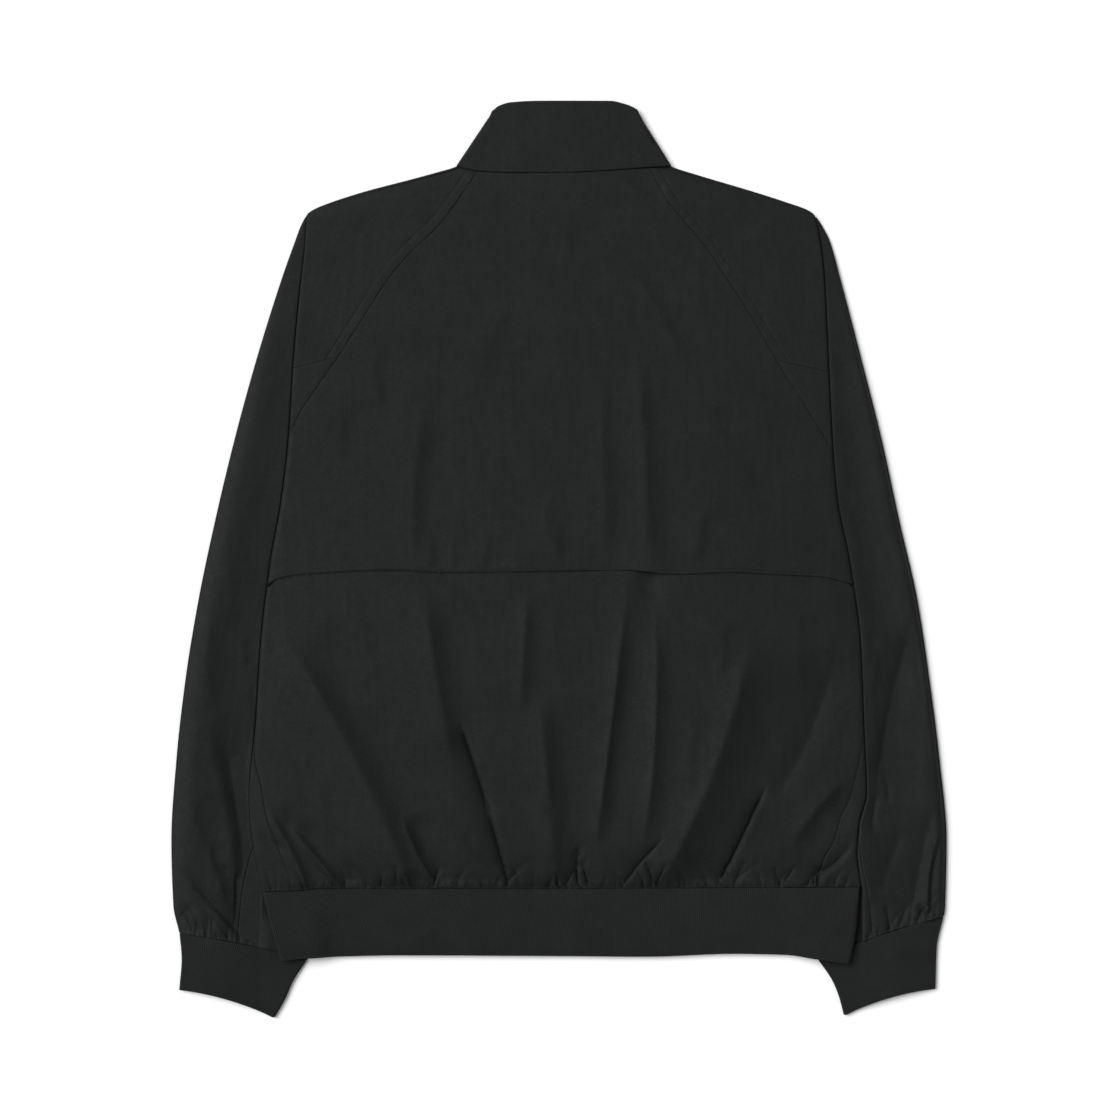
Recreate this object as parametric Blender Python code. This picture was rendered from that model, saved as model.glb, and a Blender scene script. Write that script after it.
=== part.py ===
"""Harrington jacket lying flat on its front, with its back upward.

Lengths are in millimetres until a mesh is made. X runs across the jacket, Y runs up it towards
the collar and Z leaves the surface that it lies on. "Out" is a distance from the middle line
towards either side. Every piece is a wall of cloth about a middle surface, which is worked out
row by row; the wall's thickness is added at the end.
"""
from collections import namedtuple

import bmesh
import bpy
import numpy as np

MM = 0.001
LEFT, RIGHT = "left", "right"
SIGN = {LEFT: -1.0, RIGHT: 1.0}

# Walls and gaps
CLOTH = 1.0             # shell cloth
KNIT = 2.0              # rib knit, and the stiffened collar
SEAM = 0.25             # half the gap between two pieces at a seam
EDGE_GAP = 0.42         # the same at a seam on a rounded edge, where the walls lean together
CLEAR = 4.5             # the sleeve starts to rise this far outside the body's edge
ZIP_X = 4.0             # the zip lies a little to the right of the middle
FRONT_EDGE = 3.3        # from the zip's middle to the edge of each front
SIDE_SEAM_MIN = 3.4     # the side seam is at least this far in from the body's edge

# Heights of the middle surfaces of the stacked layers
FLOOR_CLOTH = CLOTH / 2
FLOOR_KNIT = KNIT / 2
SLEEVE_UPPER = 1.8      # upper layer of a sleeve where the body lies on it
OVER_SLEEVE = 2.6       # lift of the body's lower layer where a sleeve lies under it
LIFT_BEFORE = 24.0      # this lift starts so far inside the sleeve's inner edge
LIFT_RUN = 12.0         # and is full after this distance
LIFT_ABOVE = 45.0       # and it dies away over this height above the armpit
OVER_CUFF = 2.4         # further lift where the cuff lies under the hem's corner
PLEAT = FLOOR_CLOTH + OVER_SLEEVE
EDGE_TOP = 6.1          # upper layer at the body's edge
TURN = (PLEAT - SLEEVE_UPPER) / 2       # radius of the flat, hidden folds
CUFF_UPPER = 3.3        # upper layer of a cuff where the hem lies on it
HEM_TOP = 5.0           # upper layer of the hem rib and of the collar
YOKE_STEP = 1.5         # the yoke's height over the panel at its hem
HIDDEN_DROP = 1.4       # how much lower the panel lies further up, under the yoke
OUTER_ROUND = 1.5       # radius of a sleeve's outer edge


def smooth(knots, values, at):
    """Monotone cubic through (knots, values), held level past both ends."""
    order = np.argsort(knots)
    knots, values = np.asarray(knots, float)[order], np.asarray(values, float)[order]
    step = np.diff(knots)
    slope = np.diff(values) / step
    tangent = np.zeros_like(values)
    rising = slope[:-1] * slope[1:] > 0
    total = np.where(rising, slope[:-1] + slope[1:], 1.0)
    tangent[1:-1] = np.where(rising, 2 * slope[:-1] * slope[1:] / total, 0.0)
    tangent[0], tangent[-1] = slope[0], slope[-1]
    at = np.clip(at, knots[0], knots[-1])
    i = np.clip(np.searchsorted(knots, at, side="right") - 1, 0, len(step) - 1)
    t = (at - knots[i]) / step[i]
    lower = (1 + 2 * t) * (1 - t) ** 2 * values[i] + t * (1 - t) ** 2 * step[i] * tangent[i]
    upper = t * t * (3 - 2 * t) * values[i + 1] - t * t * (1 - t) * step[i] * tangent[i + 1]
    return lower + upper


def ease(t):
    """Smooth step from 0 to 1."""
    t = np.clip(t, 0.0, 1.0)
    return t * t * (3 - 2 * t)


class Table:
    """A short table with named columns, read smoothly by its first column."""

    def __init__(self, **columns):
        self.key = next(iter(columns))
        self.columns = columns

    def __call__(self, column, at):
        return smooth(self.columns[self.key], self.columns[column], at)


class Path:
    """A smooth line through (out, y) points, read by the fraction of its length."""

    def __init__(self, *points):
        self.points = np.array(points, float)
        steps = np.hypot(*np.diff(self.points, axis=0).T)
        self.mile = np.concatenate([[0.0], np.cumsum(steps)]) / steps.sum()

    def __call__(self, t):
        return np.stack([smooth(self.mile, self.points[:, axis], t) for axis in (0, 1)], axis=-1)

    def normal(self, t):
        """Unit vector to the left of the line's direction."""
        along = self(min(t + 0.01, 1.0)) - self(max(t - 0.01, 0.0))
        return np.array([-along[1], along[0]]) / np.hypot(*along)


# ---------------------------------------------------------------- outline

# Edge where the back folds under: the sleeve head's fold, then the body's side
EDGE = Table(
    y=(297, 285, 267, 237, 178, 103, 50, 0, -70, -145, -200, -225, -250, -284),
    left=(216.5, 217.4, 218.7, 222, 227.6, 232.5, 238.7, 247.6, 256.1, 261, 266.2, 265.6, 262,
          254.7),
    right=(218.5, 222, 225.5, 228.5, 231.3, 235, 239.7, 249.6, 259, 262.1, 264.2, 258.3, 256,
           260.3))

# Outer edge of the sleeve, from the shoulder point to the cuff
OUTER = Table(
    y=(297, 286, 275, 241, 172, 103, 34, -35, -103, -172, -241, -297, -320),
    left=(217.5, 223, 227, 239, 260.6, 279.5, 296, 310.5, 321.6, 329.4, 333.7, 332, 327),
    right=(220.5, 227.5, 233, 242.5, 260.6, 278, 293, 308.7, 319, 327.7, 333.7, 332.5, 329))

# Inner edge of the sleeve, hidden under the body, and its underarm seam
INNER = Table(
    y=(296, 200, 100, 0, -100, -250, -343),
    left=(213, 187, 160, 165, 180, 205, 217),
    right=(214, 188, 160, 165, 180, 207, 222))
UNDERARM = Table(
    y=(100, 0, -100, -200, -248, -266, -290, -345),
    left=(162, 177, 210, 246, 263, 268.5, 273, 278),
    right=(162, 177, 208, 240, 257.5, 260.5, 265.7, 271))

# Distance from the body's edge in to the side seam, which rolls on to the back near the hem
SIDE_SEAM = Table(
    y=(-140, -170, -195, -220, -240, -259, -283),
    left=(SIDE_SEAM_MIN, 4, 11, 15, 20.5, 24, 27.5),
    right=(SIDE_SEAM_MIN, 6, 12, 17, 20, 30, 38))

SHOULDER = {LEFT: Path((88.6, 338), (127, 327.5), (167, 317), (198, 307), (211, 301.6), (216.5, 298)),
            RIGHT: Path((97, 338), (131.6, 327.5), (167, 317), (198, 307), (213, 301.6), (218.5, 298.3))}

# Back raglan seam, above and below the point where the gusset meets it
RAGLAN = {
    LEFT: Path((70, 334), (85, 311), (104, 286), (125, 266), (147, 240), (162, 217), (189, 174.4)),
    RIGHT: Path((78, 337), (91.5, 311), (111.5, 286), (128, 266), (145, 240), (160, 217), (187, 171))}
RAGLAN_END = {
    LEFT: Path((189, 174.4), (202, 156), (213, 140), (223, 125), (227.2, 112), (228.6, 104)),
    RIGHT: Path((187, 171), (196, 156), (206.6, 140), (215.6, 125), (223, 111), (231, 93))}
GUSSET_SEAM_Y = {LEFT: 165.0, RIGHT: 162.0}      # where the gusset's seam meets the fold
ARMPIT_Y = {LEFT: 103.0, RIGHT: 92.0}

# Front neck and front raglan seam, both hidden
NECK = {LEFT: Path((-0.7, 268), (20, 270.5), (40, 281), (58, 298), (74, 317), (88.6, 337.4)),
        RIGHT: Path((7.3, 268), (28, 270.5), (48, 281), (66, 298), (82, 317), (97, 337.4))}
NECK_SHARE = 0.80       # the front raglan seam leaves the neck at this fraction of it
FRONT_RAGLAN = {LEFT: Path((74, 317), (100, 285), (128, 240), (144, 190), (150, 140), (150, 103)),
                RIGHT: Path((82, 317), (104, 285), (128, 240), (144, 190), (150, 140), (150, 92))}

# Lines across the back
NECK_BACK = Table(
    x=(-88.6, -70, -41, 0.5, 36, 64, 78, 97),
    y=(338, 334, 332.5, 332.4, 334, 336, 337.2, 338))
YOKE_HEM = Table(
    x=(-250, -243, -218, -137, -102, -31, 57, 101.5, 148, 187, 226, 253),
    y=(-23.4, -18.8, -14.3, -10.4, -12.3, -11.4, -9.7, -12.9, -11, -12.9, -14.8, -21))
HEM_SEAM = Table(x=(-255, -227, -200, 0, 200, 259), y=(-285, -284.5, -282.4, -282.6, -281.6, -281))
HEM_EDGE = Table(
    x=(-239, -217, -137, 9, 74, 150, 195, 221, 249),
    y=(-344, -342, -339.8, -340.5, -341, -338.5, -339.4, -342.6, -346.5))
HEM_SIDE = {LEFT: Path((254.7, -285.3), (247, -314), (239, -344)),
            RIGHT: Path((258.6, -281.3), (254.5, -322), (249.4, -346.5))}

# Collar: outer ends of its seam and of its top edge, and the top edge between them
COLLAR_BASE = {LEFT: (88.4, 338.6), RIGHT: (96.8, 338.6)}
COLLAR_TOP = {LEFT: (60.6, 380), RIGHT: (70.4, 380.5)}
COLLAR_EDGE = Table(x=(-60.6, -57.6, -51.6, -41, -18, 44, 57.8, 65.5, 70.4),
                    y=(380, 384.6, 390, 393, 394.2, 394.2, 391.2, 387.7, 380.5))
COLLAR_FRONT_TOP_Y = 330.0
COLLAR_FRONT_SPREAD = 5.2       # from the zip's middle to the collar's end at its top

CUFF_OUTER = {LEFT: Path((326.6, -320.6), (324.7, -343), (326.8, -370)),
              RIGHT: Path((331, -306), (325, -334), (324, -369))}
CUFF_INNER = {LEFT: Path((217, -345), (229, -364), (235, -378), (244.3, -394.4)),
              RIGHT: Path((222, -343.5), (235.6, -364), (241.7, -380), (244.7, -392.4))}
CUFF_BOW = (2.5, 4.5)           # how far the cuff's seam and its edge bow upward

# ---------------------------------------------------------------- loft and folds

# Height of the back's middle along the jacket
LOFT = Table(y=(334, 300, 250, 150, 50, -10, -100, -230, -265, -283),
             height=(5.0, 6.4, 7.4, 8.8, 10.8, 12.3, 13.6, 13.2, 9.5, 5.4))
PILLOW = 42.0           # how soon the back rises from its edges
EDGE_INSET = CLOTH / 2 + OUTER_ROUND            # from the shoulder line to where its fold starts
SHOULDER_FALL = EDGE_TOP - FLOOR_CLOTH - 2 * OUTER_ROUND        # the back's drop to that fold
SLEEVE_ARCH = Table(y=(297, 270, 237, 170, 103, 0, -100, -240, -300, -400),
                    height=(0.2, 1.2, 3.0, 5.5, 7.5, 9.0, 10.0, 9.5, 7.5, 5.0))

Fold = namedtuple("Fold", "x0 y0 x1 y1 x2 y2 rise width")

PANEL_FOLDS = (
    Fold(-135, -259, -165, -185, -234, -68, -2.6, 9),
    Fold(-150, -262, -182, -180, -246, -75, 1.6, 11),
    Fold(-76, -207, -99, -125, -114, -53, -2.2, 9),
    Fold(-42, -273, -62, -220, -83, -148, -3.4, 8),
    Fold(-58, -268, -80, -212, -99, -150, 1.8, 9),
    Fold(-22, -262, -38, -200, -60, -110, 2.2, 12),
    Fold(-2, -254, -9.5, -185, -11, -125, -2.2, 8),
    Fold(-190, -280, -208, -258, -242, -217, -1.8, 7),
    Fold(-109, -273, -126, -246, -132, -226, -1.6, 6),
    Fold(-164, -276, -176, -250, -204, -205, -1.5, 7),
    Fold(12, -254, 30, -150, 52, -26, 2.8, 10),
    Fold(35, -258, 66, -150, 63, -49, -2.4, 9),
    Fold(68, -250, 79, -165, 78, -65, 2.2, 10),
    Fold(57, -276, 76, -252, 126, -121, -2.8, 8),
    Fold(89, -267, 122, -185, 162, -88, 2.6, 11),
    Fold(137, -275, 158, -230, 207, -155, -3.0, 9),
    Fold(207, -155, 226, -115, 243, -80, -1.2, 9),
    Fold(189, -251, 207, -224, 249, -179, -2.2, 8),
    Fold(160, -262, 186, -222, 228, -182, 1.8, 10),
    Fold(228, -267, 243, -256, 255, -236, -1.5, 7),
    Fold(108, -275, 122, -240, 140, -195, -1.8, 7))
YOKE_FOLDS = (
    Fold(59, 0, 50, 70, 35, 137, 1.8, 10),
    Fold(87, -2, 80, 55, 70, 112, -1.6, 10),
    Fold(72, -4, 56, 90, 35, 189, -1.2, 9),
    Fold(-16, 0, -18, 40, -16, 77, 1.3, 10),
    Fold(-55, 0, -58, 34, -66, 80, -1.4, 12),
    Fold(-226, 60, -190, 30, -150, 14, -1.5, 12),
    Fold(228, 40, 195, 22, 160, 12, -1.5, 12),
    Fold(-150, 250, -120, 180, -60, 120, 0.9, 20),
    Fold(150, 245, 125, 180, 80, 130, 0.9, 20))
SLEEVE_FOLDS = (
    Fold(-296, -120, -286, -190, -272, -240, -3.0, 8),
    Fold(-284, -118, -272, -160, -266, -190, 1.5, 7),
    Fold(-292, -258, -284, -266, -274, -272, -2.0, 6),
    Fold(-330, -266, -312, -286, -284, -314, -2.4, 8),
    Fold(-300, 20, -286, -20, -272, -50, -1.4, 9),
    Fold(308, -42, 297, -80, 281, -132, -2.4, 8),
    Fold(290, -112, 279, -160, 272, -220, -3.0, 8),
    Fold(327, -216, 317, -252, 318, -300, -2.6, 7),
    Fold(300, -200, 296, -240, 292, -290, 1.8, 9),
    Fold(292, 60, 280, 20, 268, -20, -1.4, 9))
YOKE_LIFT_X = 78.0      # the yoke's free hem stands off the panel here
YOKE_LIFT = 2.6
YOKE_LIFT_SIZE = (15.0, 22.0)           # its reach across and up the yoke

HEM_GATHERS = (-246, -218, -191, -183, -164, -152, -138, -131, -108, -86, -63.5, -44, -22, -8, 1.5,
               8, 14, 20, 27, 56, 74, 81, 88, 111, 129, 140, 151, 175, 190, 214, 221, 237, 246)
SLEEVE_GATHERS = {LEFT: (326, 321, 313, 303, 293, 283.5, 275, 259, 247),
                  RIGHT: (325, 317, 308, 301, 292, 284, 275, 266, 254)}
GATHER_DEPTH = 1.1
GATHER_REACH = 17.0     # how far a gather runs from its seam before it dies away


def fold_sum(folds, x, y):
    """Height that the given folds add at (x, y). Each runs on a curve through three points."""
    shape = np.shape(x)
    x, y = np.ravel(x), np.ravel(y)
    total = np.zeros(x.shape)
    t = np.linspace(0, 1, 17)
    for fold in folds:
        bend_x = 2 * fold.x1 - (fold.x0 + fold.x2) / 2
        bend_y = 2 * fold.y1 - (fold.y0 + fold.y2) / 2
        line_x = (1 - t) ** 2 * fold.x0 + 2 * t * (1 - t) * bend_x + t * t * fold.x2
        line_y = (1 - t) ** 2 * fold.y0 + 2 * t * (1 - t) * bend_y + t * t * fold.y2
        run_x, run_y = np.diff(line_x), np.diff(line_y)
        from_x, from_y = x[:, None] - line_x[:-1], y[:, None] - line_y[:-1]
        share = np.clip((from_x * run_x + from_y * run_y) / (run_x ** 2 + run_y ** 2), 0, 1)
        away = np.hypot(from_x - share * run_x, from_y - share * run_y)
        near = np.argmin(away, axis=1)
        rows = np.arange(len(x))
        along = (near + share[rows, near]) / (len(t) - 1)
        fade = ease(along / 0.25) * ease((1 - along) / 0.3)
        total += fold.rise * fade * np.exp(-(away[rows, near] / fold.width) ** 2)
    return total.reshape(shape)


def gather_sum(gathers, out, rise):
    """Depth of the gathers at "out", a height "rise" above the seam that draws them in."""
    gathers = np.sort(np.asarray(gathers, float))
    room = np.minimum(np.diff(gathers, prepend=gathers[0] - 20),
                      np.diff(gathers, append=gathers[-1] + 20))
    total = np.zeros(np.shape(out))
    for number, (place, width) in enumerate(zip(gathers, np.clip(room * 0.42, 2.0, 5.0))):
        uneven = np.sin(2.4 * number + 0.7)
        reach = GATHER_REACH * (1 + 0.55 * np.sin(1.7 * number))
        lean = 0.12 * uneven * np.maximum(rise, 0)
        grow = 0.35 + 0.65 * ease(rise / 7)
        dip = np.exp(-((out - place - lean) / (width * (1 + np.maximum(rise, 0) / 60))) ** 2)
        total -= GATHER_DEPTH * (1 + 0.3 * uneven) * grow * np.exp(-np.maximum(rise, 0) / reach) * dip
    return total


def from_edge(x, y):
    """Distance in from the folded edge on the nearer side."""
    return np.where(x < 0, EDGE(LEFT, y) + x, EDGE(RIGHT, y) - x)


def from_shoulder(x, y):
    """Distance in from the shoulder line."""
    line = np.where(x < 0, 338 - 0.29 * (-x - 88.6), 338 - 0.30 * (x - 97))
    return np.maximum((line - y) * 0.96, EDGE_INSET)


def plain_height(x, y):
    """Middle of the upper layer of body and sleeve heads, without its folds."""
    rise = (LOFT("height", y) - EDGE_TOP) * (1 - np.exp(-np.maximum(from_edge(x, y), 0) / PILLOW))
    return EDGE_TOP + rise - SHOULDER_FALL * np.exp(-(from_shoulder(x, y) - EDGE_INSET) / 7)


def back_height(x, y, folds=PANEL_FOLDS + YOKE_FOLDS):
    """Middle of the upper layer of body and sleeve heads."""
    above_hem = y - HEM_SEAM("y", x)
    fold = fold_sum(folds, x, y) * ease(from_edge(x, y) / 22) * (0.25 + 0.75 * ease(above_hem / 14))
    return plain_height(x, y) + fold + gather_sum(HEM_GATHERS, x, above_hem) * (y < -180)


def yoke_height(x, y):
    """Upper layer of the yoke, which stands off the panel where its hem is lifted."""
    above = np.maximum(y - YOKE_HEM("y", x), 0)
    across, up = (x - YOKE_LIFT_X) / YOKE_LIFT_SIZE[0], above / YOKE_LIFT_SIZE[1]
    return back_height(x, y) + YOKE_LIFT * np.exp(-across ** 2 - up ** 2)


def panel_height(x, y):
    """The back panel: in plain view below the yoke's hem, and lower, under it, above the hem."""
    above = y - YOKE_HEM("y", x)
    step = YOKE_STEP * ease((above + 14) / 12)
    inward = 1 - np.exp(-from_edge(x, y) / 30)
    hidden = HIDDEN_DROP * ease((above + 4) / 20) * (1 - ease((y - 240) / 50)) * inward
    return back_height(x, y, PANEL_FOLDS) - step - hidden


def front_height(side, out, y):
    """The fronts: on the surface in the middle, and lifted where the sleeve lies under them."""
    start = INNER(side, y) - LIFT_BEFORE
    near_armpit = 1 - ease((y - ARMPIT_Y[side]) / LIFT_ABOVE)
    return FLOOR_CLOTH + OVER_SLEEVE * ease((out - start) / LIFT_RUN) * near_armpit


def outer_round(y):
    """Radius of the sleeve's outer edge, small by the shoulder point."""
    return TURN + (OUTER_ROUND - TURN) * ease((290 - y) / 45)


def outside_body(side, out, y):
    """0 at the body's edge and 1 at the sleeve's outer edge."""
    start = EDGE(side, y) + CLEAR
    end = OUTER(side, y) - CLOTH / 2 - outer_round(y)
    return np.clip((out - start) / (end - start), 0, 1)


def sleeve_height(side, out, y):
    """The sleeve's upper layer: flat under the body, and arched outside it."""
    across = outside_body(side, out, y)
    rim = FLOOR_CLOTH + 2 * outer_round(y)
    arch = SLEEVE_ARCH("height", y) * np.sin(np.pi * across)
    plain = SLEEVE_UPPER + (rim - SLEEVE_UPPER) * across + arch
    fade = ease(across * 5) * ease((1 - across) * 7)
    rise = y - cuff_seam_y(side, out)
    gathers = gather_sum(SLEEVE_GATHERS[side], out, rise) * (y < -220)
    return plain + fade * (fold_sum(SLEEVE_FOLDS, SIGN[side] * out, y) * ease(rise / 12) + gathers)


def cuff_seam_y(side, out):
    """Line of the seam between sleeve and cuff."""
    inner, outer = CUFF_INNER[side](0.0), CUFF_OUTER[side](0.0)
    share = np.clip((out - inner[0]) / (outer[0] - inner[0]), 0, 1)
    return inner[1] + (outer[1] - inner[1]) * share + CUFF_BOW[0] * 4 * share * (1 - share)


# ---------------------------------------------------------------- rows of points

def points(side, out, y, z):
    """World points from distances out, heights up the jacket and heights off the surface."""
    out, y, z = np.broadcast_arrays(np.atleast_1d(np.asarray(out, float)), y, z)
    return np.stack([SIGN[side] * out, y, z], axis=-1)


def turn(side, centre, y, z, radius, start, stop, count):
    """Points round a fold, from the angle start to stop; 0 is outward and 90 is up."""
    angle = np.radians(np.linspace(start, stop, count))
    return points(side, centre + radius * np.cos(angle), y, z + radius * np.sin(angle))


def between(first, last, count):
    """Plan points from first to last."""
    return np.linspace(first, last, count).T


def bridge(first, second):
    """Triangles or quads between two rows, by index into each."""
    if len(first) == len(second):
        return [((0, i), (0, i + 1), (1, i + 1), (1, i)) for i in range(len(first) - 1)]
    miles = []
    for row in (first, second):
        steps = np.linalg.norm(np.diff(row, axis=0), axis=1)
        miles.append(np.concatenate([[0], np.cumsum(steps)]) / steps.sum())
    faces, i, j = [], 0, 0
    while i < len(first) - 1 or j < len(second) - 1:
        step_first = j == len(second) - 1 or (i < len(first) - 1 and miles[0][i + 1] <= miles[1][j + 1])
        if step_first:
            faces.append(((0, i), (0, i + 1), (1, j)))
            i += 1
        else:
            faces.append(((0, i), (1, j + 1), (1, j)))
            j += 1
    return faces


def material(name, colour, roughness, metallic=0.0):
    """A plain Principled finish."""
    made = bpy.data.materials.new(name)
    made.use_nodes = True
    shader = made.node_tree.nodes["Principled BSDF"]
    shader.inputs["Base Color"].default_value = (*colour, 1.0)
    shader.inputs["Roughness"].default_value = roughness
    shader.inputs["Metallic"].default_value = metallic
    made.diffuse_color = (*colour, 1.0)
    return made


def cloth(name, patches, wall, finish, ring=False):
    """A wall of cloth about its middle surface. Patches are lists of rows and may share points."""
    mesh = bmesh.new()
    corners = {}

    def corner(point):
        key = tuple(np.round(point, 3))
        if key not in corners:
            corners[key] = mesh.verts.new(np.asarray(point) * MM)
        return corners[key]

    for rows in patches:
        for pair in zip(rows[:-1], rows[1:]):
            pair = [np.vstack([row, row[:1]]) for row in pair] if ring else pair
            for face in bridge(*pair):
                mesh.faces.new([corner(pair[row][column]) for row, column in face])
    bmesh.ops.recalc_face_normals(mesh, faces=mesh.faces)
    data = bpy.data.meshes.new(name)
    mesh.to_mesh(data)
    mesh.free()
    data.materials.append(finish)
    data.shade_smooth()
    piece = bpy.data.objects.new(name, data)
    bpy.context.collection.objects.link(piece)
    thicken = piece.modifiers.new("Wall", "SOLIDIFY")
    thicken.thickness = wall * MM
    thicken.offset = 0.0
    thicken.use_even_offset = True
    thicken.use_quality_normals = True
    return piece


# ---------------------------------------------------------------- sleeves

HEAD_COLUMNS = 6
SHOULDER_ROWS = 5
FOLD_Y = (289, 277, 255, 228, 197)         # rows down the sleeve head's folded edge
GUSSET_ROWS = 4
TUBE_ROWS = (0, 0.14, 0.28, 0.42, 0.54, 0.64, 0.70, 0.76, 0.82, 0.88, 0.94, 1.0)
HALF_TURN, QUARTER_TURN = 5, 3             # points round a half and a quarter fold


def shoulder_row(side, row):
    """Outline point and outward direction for a row that ends on the shoulder line."""
    t = row / (SHOULDER_ROWS - 1)
    normal = SHOULDER[side].normal(t)
    return SHOULDER[side](t), normal / np.hypot(*normal)


def outline_edge(side, row, up):
    """The quarter fold at the shoulder line: the back's half if up, else the front's."""
    outline, normal = shoulder_row(side, row)
    centre = FLOOR_CLOTH + OUTER_ROUND
    half = 1 if up else -1
    seam_angle = np.arcsin(EDGE_GAP / OUTER_ROUND)
    angles = half * np.linspace(np.pi / 2, seam_angle, QUARTER_TURN)
    inset = CLOTH / 2 + OUTER_ROUND * (1 - np.cos(angles))
    plan = outline - inset[:, None] * normal
    return points(side, plan[:, 0], plan[:, 1], centre + OUTER_ROUND * np.sin(angles))


def outer_edge(side, y, up):
    """The quarter fold at the sleeve's outer edge."""
    radius = outer_round(y)
    centre = OUTER(side, y) - CLOTH / 2 - radius
    seam_angle = np.degrees(np.arcsin(EDGE_GAP / radius))
    start, stop = (90, seam_angle) if up else (-90, -seam_angle)
    return turn(side, centre, y, FLOOR_CLOTH + radius, radius, start, stop, QUARTER_TURN)


def inner_turn(side, y, start, stop):
    """The hidden fold at the sleeve's inner edge, between the pleat and the upper layer."""
    return turn(side, INNER(side, y) + TURN, y, SLEEVE_UPPER + TURN, TURN, start, stop, HALF_TURN)


def fold_turn(side, y):
    """The visible fold from the upper layer at the edge down to the pleat under it."""
    centre = EDGE(side, y) - CLOTH / 2 - (EDGE_TOP - PLEAT) / 2
    top = float(back_height(SIGN[side] * centre, y))
    radius = (top - PLEAT) / 2
    centre = EDGE(side, y) - CLOTH / 2 - radius
    return turn(side, centre, y, PLEAT + radius, radius, 90, -90, HALF_TURN), centre


def head_layer(side, inner, outer):
    """The visible upper layer of the sleeve head or gusset between two plan points."""
    out, y = between(inner, outer, HEAD_COLUMNS)
    return points(side, out, y, back_height(SIGN[side] * out, y))


def upper_layer(side, start, y):
    """Distances out across the sleeve's upper layer, closer together outside the body's edge."""
    end = OUTER(side, y) - CLOTH / 2 - outer_round(y)
    rise = min(max(EDGE(side, y) + CLEAR, start + 0.06 * (end - start)), end - 1.5)
    return np.concatenate([np.linspace(start, rise, 4)[:-1], np.linspace(rise, end, 7)])


def tube_line(side, fraction):
    """Height of the sleeve's row at its inner and its outer end."""
    inner = ARMPIT_Y[side] + (CUFF_INNER[side](0.0)[1] + SEAM - ARMPIT_Y[side]) * fraction
    outer = ARMPIT_Y[side] + (CUFF_OUTER[side](0.0)[1] + SEAM - ARMPIT_Y[side]) * fraction
    return inner, outer


def tube_y(side, out, fraction):
    """Height of a sleeve's row at a distance out."""
    inner, outer = tube_line(side, fraction)
    reach = INNER(side, inner), OUTER(side, outer)
    share = (out - reach[0]) / (reach[1] - reach[0])
    return inner + (outer - inner) * share + CUFF_BOW[0] * 4 * share * (1 - share) * fraction ** 6


def gusset_levels(side):
    """Heights of the sleeve's rows beside the gusset."""
    seam = GUSSET_SEAM_Y[side]
    return np.concatenate([[seam + SEAM], np.linspace(seam - SEAM, ARMPIT_Y[side], GUSSET_ROWS)])


def sleeve_back(side, finish):
    """Upper piece: raglan head, its fold, the pleat under it and the upper half of the tube."""
    rows_total = SHOULDER_ROWS + len(FOLD_Y) + 1
    raglan = RAGLAN[side](np.linspace(0, 1, rows_total)) + (SEAM * 1.2, 0)
    raglan[0, 1] -= SEAM * 2
    raglan[-1, 1] += SEAM
    head, under = [], []
    for row in range(SHOULDER_ROWS):
        outline, normal = shoulder_row(side, row)
        inset = outline - EDGE_INSET * normal
        inset[1] -= SEAM * 2 * (row == 0)
        edge = outline_edge(side, row, up=True)
        edge[:, 1] -= SEAM * 2 * (row == 0)
        head.append(np.vstack([head_layer(side, raglan[row], inset)[:-1], edge]))
    for row, y in enumerate((*FOLD_Y, GUSSET_SEAM_Y[side] + SEAM)):
        fold, centre = fold_turn(side, y)
        layer = head_layer(side, raglan[SHOULDER_ROWS + row], (centre, y))
        head.append(np.vstack([layer[:-1], fold[:QUARTER_TURN]]))
        pleat_out = np.linspace(centre, INNER(side, y) + TURN, 4)
        pleat = points(side, pleat_out, y, PLEAT)
        start = INNER(side, y) + TURN
        out = upper_layer(side, start, y)
        upper = points(side, out, y, sleeve_height(side, out, y))
        under.append(np.vstack([fold[QUARTER_TURN - 1:-1], pleat[:-1], inner_turn(side, y, 90, 270)[:-1],
                                upper[:-1], outer_edge(side, y, up=True)]))
    rest = []
    for number, y in enumerate(gusset_levels(side)):
        start = INNER(side, y) + TURN
        if number:
            start = max(start + 1.2, UNDERARM(side, y) + SEAM)
        out = upper_layer(side, start, y)
        upper = points(side, out, y, sleeve_height(side, out, y))
        rest.append(np.vstack([upper[:-1], outer_edge(side, y, up=True)]))
    for fraction in TUBE_ROWS[1:]:
        y_outer = tube_line(side, fraction)[1]
        start = UNDERARM(side, tube_y(side, UNDERARM(side, y_outer), fraction)) + SEAM
        out = upper_layer(side, start, y_outer)
        line = tube_y(side, out, fraction)
        upper = points(side, out, line, sleeve_height(side, out, line))
        rest.append(np.vstack([upper[:-1], outer_edge(side, y_outer, up=True)]))
    return cloth(f"sleeve_{side}_back", [head, under, rest], CLOTH, finish)


def gusset(side, finish):
    """Underarm gusset: a narrow point on the back, its fold, and the pleat under it."""
    raglan = RAGLAN_END[side](np.linspace(0, 1, GUSSET_ROWS + 1)) + (SEAM * 1.2, 0)
    raglan[0] += (SEAM, -SEAM)
    raglan[-1, 1] = ARMPIT_Y[side] + 2 * SEAM
    levels = np.linspace(GUSSET_SEAM_Y[side] - SEAM, ARMPIT_Y[side] + 2 * SEAM, GUSSET_ROWS + 1)
    rows = []
    for inner, y in zip(raglan, levels):
        fold, centre = fold_turn(side, y)
        inner[0] = min(inner[0], centre - 1.0)
        layer = head_layer(side, inner, (centre, y))
        pleat = points(side, np.linspace(centre, INNER(side, y) + TURN, 5), y, PLEAT)
        rows.append(np.vstack([layer[:-1], fold[:-1], pleat[:-1], inner_turn(side, y, 90, 270)]))
    return cloth(f"gusset_{side}", [rows], CLOTH, finish)


LIP = 9.4                # the under piece falls to the surface over this distance from its seam


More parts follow.
